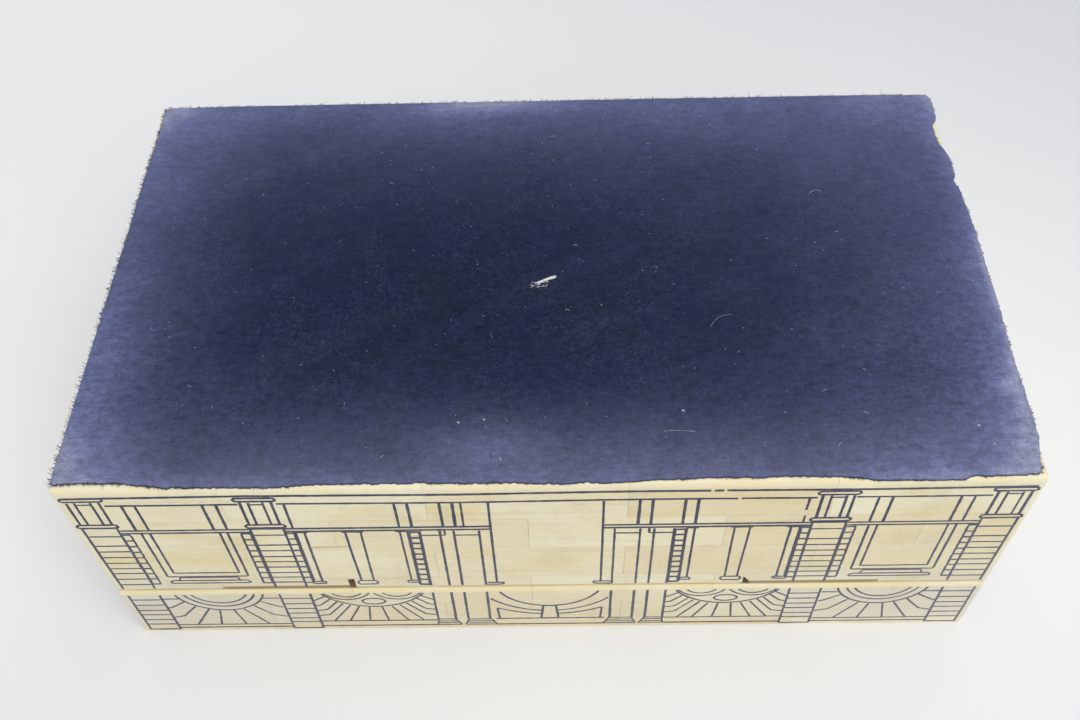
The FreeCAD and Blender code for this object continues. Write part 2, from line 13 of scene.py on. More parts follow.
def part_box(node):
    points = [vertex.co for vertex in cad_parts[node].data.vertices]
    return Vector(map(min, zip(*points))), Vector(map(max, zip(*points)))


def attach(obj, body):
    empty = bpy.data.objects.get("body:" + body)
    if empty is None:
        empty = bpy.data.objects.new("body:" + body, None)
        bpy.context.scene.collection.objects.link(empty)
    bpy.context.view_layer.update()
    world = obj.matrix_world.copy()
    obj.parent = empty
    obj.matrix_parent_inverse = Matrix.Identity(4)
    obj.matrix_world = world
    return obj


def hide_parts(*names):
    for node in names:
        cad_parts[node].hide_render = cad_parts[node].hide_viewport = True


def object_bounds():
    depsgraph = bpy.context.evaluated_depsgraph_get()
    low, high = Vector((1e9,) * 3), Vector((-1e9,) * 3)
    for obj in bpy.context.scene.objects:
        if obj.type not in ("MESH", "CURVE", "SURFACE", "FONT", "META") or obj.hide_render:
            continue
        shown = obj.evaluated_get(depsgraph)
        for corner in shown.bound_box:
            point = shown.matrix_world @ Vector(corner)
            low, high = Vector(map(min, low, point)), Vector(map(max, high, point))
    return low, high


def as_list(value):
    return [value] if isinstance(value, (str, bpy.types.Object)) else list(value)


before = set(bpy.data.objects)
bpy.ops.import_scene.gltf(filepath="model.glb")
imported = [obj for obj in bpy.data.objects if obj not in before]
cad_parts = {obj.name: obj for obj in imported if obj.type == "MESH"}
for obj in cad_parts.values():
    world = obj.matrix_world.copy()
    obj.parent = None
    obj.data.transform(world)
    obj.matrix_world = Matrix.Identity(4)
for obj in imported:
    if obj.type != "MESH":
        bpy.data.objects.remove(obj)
CAD_BOX = [list(corner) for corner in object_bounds()]
HALF_LENGTH, HALF_WIDTH = CAD_BOX[1][0], CAD_BOX[1][1]
SEAM = (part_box("lid_left_bone")[1][2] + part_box("case_left_bone")[0][2]) / 2

log = logging.getLogger("bone_box")

MM = 0.001
Point = tuple[float, float]
Colour = tuple[float, float, float, float]
Spot = tuple[float, float, float]
Root = tuple[Vector, float, float]
Edge = list[tuple[Vector, Vector]]
Socket = bpy.types.NodeSocket
Material = bpy.types.Material
NodeTree = bpy.types.NodeTree
Groups = dict[str, NodeTree]
Feed = Socket | float | int | tuple | None


class Body(Enum):
    """The two bodies of the box, by their CAD names."""

    LID = "lid"
    CASE = "case"


class Face(Enum):
    """The four engraved walls, with the turn about the upright axis that lays the front on each."""

    FRONT = 0.0
    RIGHT = math.pi / 2
    BACK = math.pi
    LEFT = -math.pi / 2


class Run(Enum):
    """Which way a board or a row of slips runs."""

    ALONG_X = 0
    ALONG_Y = 1
    FLAT = 2


def floats(*names: str) -> list[tuple[str, str]]:
    """Sockets for numbers, as new_group takes them."""
    return [(name, "Float") for name in names]


class Graph:
    """A thin hand on one node tree, shader or geometry."""

    def __init__(self, tree: NodeTree) -> None:
        """Keep the tree that nodes are added to."""
        self.tree = tree

    def node(self, kind: str, **settings: object) -> bpy.types.Node:
        """Add one node.

        Args:
            kind: Blender's name of the node.
            settings: properties to set on it.

        Returns:
            The new node.
        """
        made = self.tree.nodes.new(kind)
        for key, value in settings.items():
            setattr(made, key, value)
        return made

    def feed(self, socket: Socket, value: Feed) -> None:
        """Link a socket into an input, or set the input's own value.

        Args:
            socket: the input.
            value: a socket to link, a plain value to set, or None to leave it.
        """
        if isinstance(value, Socket):
            self.tree.links.new(value, socket)
        elif value is not None:
            socket.default_value = value

    def fill(self, node: bpy.types.Node, **values: Feed) -> None:
        """Feed several inputs of a node, by name with an underscore for each space."""
        for key, value in values.items():
            self.feed(node.inputs[key.replace("_", " ")], value)

    def math(self, operation: str, first: Feed, second: Feed = None, third: Feed = None,
             clamp: bool = False) -> Socket:
        """One sum on plain numbers.

        Args:
            operation: the Math node's operation.
            first: first operand.
            second: second operand.
            third: third operand.
            clamp: keep the result between 0 and 1.

        Returns:
            The result's socket.
        """
        made = self.node("ShaderNodeMath", operation=operation, use_clamp=clamp)
        for socket, value in zip(made.inputs, (first, second, third)):
            self.feed(socket, value)
        return made.outputs[0]

    def add(self, first: Feed, second: Feed, clamp: bool = False) -> Socket:
        """The sum of two numbers."""
        return self.math("ADD", first, second, clamp=clamp)

    def sub(self, first: Feed, second: Feed) -> Socket:
        """The first number less the second."""
        return self.math("SUBTRACT", first, second)

    def mul(self, first: Feed, second: Feed, clamp: bool = False) -> Socket:
        """The product of two numbers."""
        return self.math("MULTIPLY", first, second, clamp=clamp)

    def mad(self, first: Feed, second: Feed, third: Feed, clamp: bool = False) -> Socket:
        """The product of two numbers, plus a third."""
        return self.math("MULTIPLY_ADD", first, second, third, clamp=clamp)

    def vector(self, operation: str, first: Feed, second: Feed = None) -> Socket:
        """One sum on vectors.

        Args:
            operation: the Vector Math node's operation.
            first: first vector.
            second: second vector, or the factor of a SCALE.

        Returns:
            The result's vector socket.
        """
        made = self.node("ShaderNodeVectorMath", operation=operation)
        self.feed(made.inputs[0], first)
        self.feed(made.inputs["Scale"] if operation == "SCALE" else made.inputs[1], second)
        return made.outputs[0]

    def join(self, x: Feed, y: Feed, z: Feed) -> Socket:
        """Three numbers as one vector."""
        made = self.node("ShaderNodeCombineXYZ")
        for socket, value in zip(made.inputs, (x, y, z)):
            self.feed(socket, value)
        return made.outputs[0]

    def split(self, vector: Socket) -> tuple[Socket, ...]:
        """One vector as its three numbers."""
        made = self.node("ShaderNodeSeparateXYZ")
        self.feed(made.inputs[0], vector)
        return tuple(made.outputs)

    def noise(self, vector: Feed, scale: Feed, detail: float = 2.0, roughness: float = 0.5) -> Socket:
        """Soft noise from 0 to 1.

        Args:
            vector: where it is read.
            scale: how many features to the metre.
            detail: octaves.
            roughness: strength of the finer octaves.

        Returns:
            The noise's value socket.
        """
        made = self.node("ShaderNodeTexNoise")
        settings = {"Vector": vector, "Scale": scale, "Detail": detail, "Roughness": roughness}
        for name, value in settings.items():
            self.feed(made.inputs[name], value)
        return made.outputs["Fac"]

    def drawn(self, x: Feed, x_scale: float, y: Feed, y_scale: float, z: Feed, detail: float,
              roughness: float) -> Socket:
        """Noise drawn out one way, for grain and threads."""
        return self.noise(self.join(self.mul(x, x_scale), self.mul(y, y_scale), z), 1.0, detail, roughness)

    def ease(self, value: Feed, start: Feed, end: Feed, low: Feed = 0.0, high: Feed = 1.0) -> Socket:
        """A smooth step from low at start to high at end.

        Args:
            value: what is compared.
            start: where the step begins.
            end: where it ends.
            low: result before start.
            high: result after end.

        Returns:
            The stepped value's socket.
        """
        made = self.node("ShaderNodeMapRange", interpolation_type="SMOOTHSTEP")
        for socket, given in zip(made.inputs, (value, start, end, low, high)):
            self.feed(socket, given)
        return made.outputs[0]

    def tint(self, factor: Feed, first: Feed, second: Feed, mode: str = "MIX") -> Socket:
        """Two colours mixed.

        Args:
            factor: share of the second.
            first: first colour.
            second: second colour.
            mode: Blender's blend mode.

        Returns:
            The mixed colour's socket.
        """
        made = self.node("ShaderNodeMix", data_type="RGBA", blend_type=mode)
        self.feed(made.inputs[0], factor)
        self.feed(made.inputs[6], first)
        self.feed(made.inputs[7], second)
        return made.outputs[2]

    def attribute(self, name: str) -> Socket:
        """A number that each point carries."""
        made = self.node("GeometryNodeInputNamedAttribute", data_type="FLOAT")
        made.inputs["Name"].default_value = name
        return made.outputs["Attribute"]

    def tube(self, curve: Socket, sides: int, half: Feed) -> Socket:
        """A closed tube along a curve.

        Args:
            curve: the curve.
            sides: how many sides the tube has.
            half: half its thickness.

        Returns:
            The tube's mesh socket.
        """
        ring = self.node("GeometryNodeCurvePrimitiveCircle")
        self.fill(ring, Resolution=sides, Radius=1.0)
        made = self.node("GeometryNodeCurveToMesh")
        self.fill(made, Curve=curve, Profile_Curve=ring.outputs["Curve"], Scale=half, Fill_Caps=True)
        return made.outputs["Mesh"]

    def dressed(self, shape: Socket, material: Socket) -> Socket:
        """Real geometry of a shape, with its material."""
        real = self.node("GeometryNodeRealizeInstances")
        self.feed(real.inputs["Geometry"], shape)
        made = self.node("GeometryNodeSetMaterial")
        self.fill(made, Geometry=real.outputs["Geometry"], Material=material)
        return made.outputs["Geometry"]

    def group(self, tree: NodeTree, **values: Feed) -> bpy.types.Node:
        """Place a shader group.

        Args:
            tree: the group.
            values: its inputs by name, with an underscore for each space.

        Returns:
            The group's node.
        """
        made = self.node("ShaderNodeGroup", node_tree=tree)
        self.fill(made, **values)
        return made


def point_values(mesh: bpy.types.Mesh, name: str, values: Sequence[float]) -> None:
    """Give each point of a mesh its own number."""
    mesh.attributes.new(name, "FLOAT", "POINT").data.foreach_set("value", values)


def mesh_piece(name: str, shape: bmesh.types.BMesh, material: Material) -> bpy.types.Object:
    """Make a piece of a finished shape.

    Args:
        name: the piece's name.
        shape: its shape, which is freed.
        material: its finish.

    Returns:
        The piece, in the scene.
    """
    mesh = bpy.data.meshes.new(name)
    shape.to_mesh(mesh)
    shape.free()
    mesh.materials.append(material)
    piece = bpy.data.objects.new(name, mesh)
    bpy.context.scene.collection.objects.link(piece)
    return piece


def new_group(name: str, kind: str, takes: Sequence[tuple[str, str]], gives: Sequence[tuple[str, str]],
              ) -> tuple[Graph, bpy.types.Node, bpy.types.Node]:
    """Start a node group.

    Args:
        name: the group's name.
        kind: ShaderNodeTree or GeometryNodeTree.
        takes: inputs as (name, socket type).
        gives: outputs as (name, socket type).

    Returns:
        The graph, its input node and its output node.
    """
    tree = bpy.data.node_groups.new(name, kind)
    for label, sort in takes:
        tree.interface.new_socket(name=label, in_out="INPUT", socket_type=f"NodeSocket{sort}")
    for label, sort in gives:
        tree.interface.new_socket(name=label, in_out="OUTPUT", socket_type=f"NodeSocket{sort}")
    graph = Graph(tree)
    return graph, graph.node("NodeGroupInput"), graph.node("NodeGroupOutput")


def new_material(name: str) -> tuple[Material, Graph, bpy.types.Node, Socket]:
    """Start a material on Object coordinates.

    Args:
        name: the material's name.

    Returns:
        The material, its graph, its Principled shader and the Object coordinate socket.
    """
    material = bpy.data.materials.new(name)
    material.use_nodes = True
    graph = Graph(material.node_tree)
    shader = material.node_tree.nodes["Principled BSDF"]
    return material, graph, shader, graph.node("ShaderNodeTexCoord").outputs["Object"]


def bump(graph: Graph, shader: bpy.types.Node, height: Socket, depth: float, strength: float) -> None:
    """Raise a shader's surface by a height.

    Args:
        graph: the material's graph.
        shader: the Principled shader.
        height: the height's socket.
        depth: height of a full step, in metres.
        strength: how much of it shows.
    """
    made = graph.node("ShaderNodeBump")
    graph.fill(made, Strength=strength, Distance=depth, Height=height)
    graph.feed(shader.inputs["Normal"], made.outputs["Normal"])


def half_size(node: str) -> tuple[float, float]:
    """Half the length and half the width of a CAD node."""
    low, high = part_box(node)
    return (high[0] - low[0]) / 2, (high[1] - low[1]) / 2


def soiling_group() -> NodeTree:
    """Blotches of handling and dust, for bone, wood, brass and felt.

    Returns:
        The shader group, with Blotch and Speck from 0 to 1.
    """
    graph, given, put = new_group("soiling", "ShaderNodeTree",
                                  [("Vector", "Vector"), ("Size", "Float"), ("Cover", "Float")],
                                  [("Blotch", "Float"), ("Speck", "Float")])
    place, size, cover = (given.outputs[name] for name in ("Vector", "Size", "Cover"))
    per_metre = graph.math("DIVIDE", 1.0, size)
    broad = graph.noise(place, per_metre, 3.0, 0.55)
    fine = graph.noise(place, graph.mul(per_metre, 9.0), 2.0, 0.6)
    mixed = graph.mad(fine, 0.3, graph.mul(broad, 0.7))
    edge = graph.sub(0.78, graph.mul(cover, 0.5))
    graph.feed(put.inputs["Blotch"], graph.ease(mixed, graph.sub(edge, 0.16), graph.add(edge, 0.1)))
    dots = graph.node("ShaderNodeTexVoronoi")
    graph.fill(dots, Vector=place, Scale=graph.mul(per_metre, 6.0))
    chosen = graph.math("GREATER_THAN", graph.split(dots.outputs["Color"])[0], graph.sub(1.0, cover))
    spot = graph.ease(dots.outputs["Distance"], 0.03, 0.12, 1.0, 0.0)
    graph.feed(put.inputs["Speck"], graph.mul(spot, chosen))
    return graph.tree


@dataclass(frozen=True)
class Slips:
    """How the bone slips are laid, as in the CAD."""

    length: float = 53.2 * MM
    levels: tuple[float, ...] = (17.8 * MM, 35.2 * MM, 52.4 * MM, 68.4 * MM)
    top_course: float = HALF_WIDTH / 4
    top_start: float = -HALF_WIDTH
    long_start: float = HALF_LENGTH
    end_start: float = half_size("case_right_bone")[1]

    def group(self) -> NodeTree:
        """One slip after another, each with its own tone and grain.

        Returns:
            The shader group: Tone and Warmth per slip, Streak, Pore and Cloud along it.
        """
        graph, given, put = new_group(
            "bone_slips", "ShaderNodeTree",
            floats("Along", "Across", "Course", "Start", "Seed"),
            floats("Tone", "Warmth", "Streak", "Pore", "Cloud"))
        along, across, course, start, seed = (
            given.outputs[n] for n in ("Along", "Across", "Course", "Start", "Seed"))
        bond = graph.math("FRACT", graph.mul(course, 0.5))
        count = graph.math("DIVIDE", graph.sub(start, along), self.length)
        number = graph.math("FLOOR", graph.add(count, bond))
        own = graph.node("ShaderNodeTexWhiteNoise", noise_dimensions="3D")
        graph.feed(own.inputs["Vector"], graph.join(number, course, seed))
        tone, warmth, shift = graph.split(own.outputs["Color"])
        graph.fill(put, Tone=tone, Warmth=warmth)
        layer = graph.mad(shift, 5.0, seed)
        slant = graph.mad(graph.sub(tone, 0.5), graph.mul(along, 0.08), across)
        streaks = graph.drawn(along, 26.0, slant, 520.0, layer, 4.0, 0.62)
        graph.feed(put.inputs["Streak"], streaks)
        pores = graph.drawn(along, 330.0, slant, 2600.0, layer, 1.0, 0.5)
        graph.feed(put.inputs["Pore"], graph.ease(pores, 0.6, 0.72))
        clouds = graph.drawn(along, 34.0, across, 75.0, layer, 3.0, 0.55)
        graph.feed(put.inputs["Cloud"], clouds)
        return graph.tree

    def course(self, graph: Graph, place: Socket, run: Run) -> dict[str, Feed]:
        """Where a point lies among the slips.

        Args:
            graph: the material's graph.
            place: Object coordinates.
            run: the wall's direction, or FLAT for the lid's outer face.

        Returns:
            Values for the group's inputs.
        """
        x, y, z = graph.split(place)
        if run is Run.FLAT:
            row = graph.math("FLOOR", graph.math("DIVIDE", graph.sub(y, self.top_start), self.top_course))
            return {"Along": x, "Across": y, "Course": row, "Start": self.long_start}
        row: Feed = 0.0
        for level in self.levels:
            row = graph.add(row, graph.math("GREATER_THAN", z, level))
        along, start = (x, self.long_start) if run is Run.ALONG_X else (y, self.end_start)
        return {"Along": along, "Across": z, "Course": row, "Start": start}


@dataclass(frozen=True)
class BoneFinish:
    """Polished old bone: cream slips, each its own tone, yellowed in clouds, with painted highlights on the
    rounded rims and dirt and painted shade along the seam.
    """

    cream: Colour = (0.800, 0.682, 0.430, 1.0)
    pale: Colour = (0.875, 0.805, 0.575, 1.0)
    honey: Colour = (0.76, 0.62, 0.29, 1.0)
    streak: Colour = (0.55, 0.445, 0.255, 1.0)
    soil: Colour = (0.36, 0.265, 0.15, 1.0)
    # Dirt along the seam, with painted shade in the seam's groove.
    grime_and_shade: Colour = (0.46, 0.335, 0.15, 1.0)
    # Brown inside the rim cuts and on the lid's rim under them: dirt, and painted shade in the recess.
    cut: Colour = (0.36, 0.25, 0.13, 1.0)
    # Paler cream for polish and painted highlights on the rounded edges.
    polish_and_highlight: Colour = (0.95, 0.885, 0.68, 1.0)
    # Yellow of the painted highlights on the rounded foot and on the lid's rim below the seam.
    rim: Colour = (0.93, 0.795, 0.43, 1.0)
    cool: Colour = (0.66, 0.63, 0.57, 1.0)
    # Painted shade in the two chip hollows, brown in one and near black in the other.
    brown_hole: Colour = (0.15, 0.062, 0.04, 1.0)
    black_hole: Colour = (0.012, 0.010, 0.012, 1.0)
    chip_place: float = 57.5 * MM
    relief_end: float = 96.0 * MM
    cut_top: float = SEAM + 5.4 * MM
    foot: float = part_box("case_left_bone")[1][2]

    def material(self, name: str, run: Run, slips: Slips, groups: Groups, seed: float,
                 chips: bool = False) -> Material:
        """Make the finish for one direction of slips.

        Args:
            name: the material's name.
            run: the direction of the slips.
            slips: how they are laid.
            groups: the shared shader groups.
            seed: keeps walls apart.
            chips: the wall has the two chips in its rim.

        Returns:
            The material.
        """
        material, graph, shader, place = new_material(name)
        laid = graph.group(groups["slips"], **slips.course(graph, place, run), Seed=seed)
        tone, warmth, streak, pore, cloud = (
            laid.outputs[n] for n in ("Tone", "Warmth", "Streak", "Pore", "Cloud"))
        dirt = graph.group(groups["soiling"], Vector=place, Size=14 * MM, Cover=0.32)
        colour = graph.tint(tone, self.cream, self.pale)
        yellow = graph.mul(graph.ease(cloud, 0.42, 0.7), graph.mad(warmth, 0.5, 0.22))
        colour = graph.tint(yellow, colour, self.honey)
        colour = graph.tint(graph.mul(graph.ease(streak, 0.5, 0.8), 0.34), colour, self.streak)
        colour = graph.tint(graph.mul(pore, 0.16), colour, self.soil)
        colour = graph.tint(graph.mul(dirt.outputs["Blotch"], 0.16), colour, self.soil)
        if run is not Run.FLAT:
            colour = self.wear_and_painted_light(graph, colour, place, run, cloud, seed, chips)
        graph.feed(shader.inputs["Base Color"], colour)
        rough = graph.mad(streak, 0.2, 0.26)
        graph.fill(shader, Roughness=graph.mad(dirt.outputs["Blotch"], 0.14, rough), IOR=1.5,
                   Subsurface_Weight=0.12, Subsurface_Radius=(1.0, 0.7, 0.4), Subsurface_Scale=0.8 * MM)
        relief = graph.sub(graph.mul(streak, 0.8), graph.mul(pore, 0.5))
        bump(graph, shader, relief, 0.05 * MM, 0.35)
        return material

    def wear_and_painted_light(self, graph: Graph, colour: Feed, place: Socket, run: Run, cloud: Socket, seed: float,
                chips: bool) -> Feed:
        """Painted light and signs of use on a wall: brown painted shade inside the rim cuts, polish and
        painted highlights on the rounded edges, greyer towards the lid's ends, and dirt with painted shade
        along the seam.

        Args:
            graph: the material's graph.
            colour: the colour so far.
            place: Object coordinates.
            run: the direction of the slips.
            cloud: soft blotches, from 0 to 1.
            seed: keeps walls apart.
            chips: the wall has the two chips in its rim.

        Returns:
            The changed colour.
        """
        x, y, height = graph.split(place)
        out, along, far, wide = ((y, x, HALF_WIDTH, HALF_LENGTH) if run is Run.ALONG_X
                                 else (x, y, HALF_LENGTH, HALF_WIDTH))
        deep = graph.sub(far - 0.12 * MM, graph.math("ABSOLUTE", out))
        inside = graph.math("GREATER_THAN", deep, 0.0)
        clear = graph.math("LESS_THAN", graph.math("ABSOLUTE", along), wide - 1.3 * MM)
        above = graph.math("GREATER_THAN", height, SEAM)
        under = graph.math("LESS_THAN", height, SEAM)
        below = graph.math("LESS_THAN", height, self.cut_top)
        # Brown on the faces behind the wall's plane just above the seam: painted shade in the rim cuts'
        # recess, with dirt.
        cut_face_shade = graph.mul(graph.mul(inside, clear), graph.mul(above, below))
        colour = graph.tint(graph.mul(cut_face_shade, graph.mad(cloud, 0.5, 0.55), clamp=True),
                            colour, self.cut)
        # Paler at the foot's rounded edge and at the wall ends: polish, with a painted highlight on the
        # foot's rounding.
        near_foot = graph.ease(height, self.foot - 3.6 * MM, self.foot - 1.6 * MM, 0.0, 0.42)
        near_end = graph.ease(graph.math("ABSOLUTE", along), wide - 2.8 * MM, wide - 0.9 * MM, 0.0, 0.45)
        colour = graph.tint(graph.math("MAXIMUM", near_foot, near_end), colour, self.polish_and_highlight)
        ends = graph.ease(graph.math("ABSOLUTE", along), 0.3 * wide, 0.75 * wide, 0.35, 1.0)
        grey = graph.mul(graph.ease(height, SEAM - 9 * MM, SEAM + 16 * MM, 0.55, 0.0), ends)
        colour = graph.tint(grey, colour, self.cool)
        rubbed = graph.drawn(along, 34.0, height, 200.0, seed, 3.0, 0.65)
        # Yellow painted highlight along the foot's rounding, broken by rubbing.
        foot_highlight = graph.mul(near_foot, graph.ease(rubbed, 0.36, 0.56, 1.3, 0.0))
        colour = graph.tint(foot_highlight, colour, self.rim)
        # A bright band on the lid's rounded rim below the seam: painted highlight.
        seam_rim_highlight = graph.mul(graph.ease(height, SEAM - 4.6 * MM, SEAM - 2.6 * MM, 0.0, 0.8), under)
        bright = graph.tint(graph.ease(rubbed, 0.48, 0.66), self.rim, self.polish_and_highlight)
        colour = graph.tint(seam_rim_highlight, colour, bright)
        # A dark line each side of the seam: dirt, with painted shade in the seam's groove.
        lid_seam_dirt_and_shade = graph.ease(height, SEAM - 1.95 * MM, SEAM - 1.45 * MM, 0.0, 0.85)
        lid_seam_dirt_and_shade = graph.mul(lid_seam_dirt_and_shade, under)
        case_seam_dirt_and_shade = graph.mul(graph.ease(height, SEAM, SEAM + 0.9 * MM, 0.5, 0.0), above)
        wander = graph.noise(graph.join(graph.mul(along, 42.0), 0.0, seed), 1.0, 2.0, 0.5)
        broken = graph.ease(wander, 0.32, 0.56, 0.45, 1.0)
        seam_dirt_and_shade = graph.mul(graph.add(lid_seam_dirt_and_shade, case_seam_dirt_and_shade), broken, clamp=True)
        colour = graph.tint(seam_dirt_and_shade, colour, self.grime_and_shade)
        if chips:
            colour = self.chipped(graph, colour, place, lid_seam_dirt_and_shade, graph.mul(inside, below))
        return colour

    def chipped(self, graph: Graph, colour: Feed, place: Socket, lid_seam_dirt_and_shade: Feed, inner: Feed) -> Feed:
        """Brown along the two cuts in the rim, dirt with painted shade under the overhang, and painted shade
        in the chips at their inner ends.

        Args:
            graph: the material's graph.
            colour: the colour so far.
            place: Object coordinates.
            lid_seam_dirt_and_shade: the dirt and painted shade on the lid's rim, from 0 to 1.
            inner: 1 on faces behind the wall's own plane, near the seam.

        Returns:
            The darkened colour.
        """
        x, y, height = graph.split(place)
        reach = graph.math("ABSOLUTE", x)
        begun = graph.ease(reach, self.chip_place - 1.5 * MM, self.chip_place + 1.5 * MM)
        over = graph.ease(reach, self.relief_end - 2 * MM, self.relief_end + 2 * MM, 1.0, 0.0)
        along_cut = graph.mul(begun, over)
        # Brown on the lid's rim under each cut, seen through the gap: painted shade under the overhang, with
        # dirt.
        colour = graph.tint(graph.mul(along_cut, lid_seam_dirt_and_shade), colour, self.cut)
        ragged = graph.mul(graph.sub(graph.noise(place, 900.0, 2.0, 0.6), 0.5), 2.2 * MM)
        beside = graph.math("ABSOLUTE", graph.sub(reach, self.chip_place))
        near = graph.ease(graph.add(beside, ragged), 0.7 * MM, 1.9 * MM, 0.95, 0.0)
        front = graph.ease(y, 3.0 * MM - HALF_WIDTH, 4.2 * MM - HALF_WIDTH, 1.0, 0.0)
        high = graph.ease(height, SEAM - 1.9 * MM, SEAM - 1.2 * MM)
        # Painted shade in the chip hollows at the cuts' inner ends.
        chip_shade = graph.mul(graph.mul(near, front), graph.mul(high, inner))
        dark = graph.tint(graph.math("GREATER_THAN", x, 0.0), self.brown_hole, self.black_hole)
        return graph.tint(chip_shade, colour, dark)


@dataclass(frozen=True)
class LacFinish:
    """Dark lac rubbed into the engraved lines, worn thin in places."""

    ink: Colour = (0.030, 0.032, 0.072, 1.0)
    thin: Colour = (0.150, 0.146, 0.185, 1.0)
    fresh: float = 72 * MM
    worn: float = 30 * MM

    def material(self, groups: Groups) -> Material:
        """Make the finish.

        Args:
            groups: the shared shader groups.

        Returns:
            The material.
        """
        material, graph, shader, place = new_material("engraved_lac")
        worn = graph.group(groups["soiling"], Vector=place, Size=6 * MM, Cover=0.42)
        grain = graph.noise(place, 2400.0, 2.0, 0.6)
        x, _, height = graph.split(place)
        share = graph.mul(worn.outputs["Blotch"], graph.mad(grain, 0.5, 0.1))
        share = graph.add(share, graph.ease(height, self.worn, self.fresh, 0.42, 0.0))
        share = graph.add(share, graph.ease(x, 0.5 * HALF_LENGTH, HALF_LENGTH, 0.0, 0.34), clamp=True)
        graph.fill(shader, Base_Color=graph.tint(share, self.ink, self.thin),
                   Roughness=graph.mad(grain, 0.25, 0.42))
        bump(graph, shader, grain, 0.03 * MM, 0.3)
        return material


@dataclass(frozen=True)
class Patch:
    """A soft place on a felt that is rubbed more, or less, than what is round it."""

    x: float
    y: float
    wide: float
    deep: float
    most: float


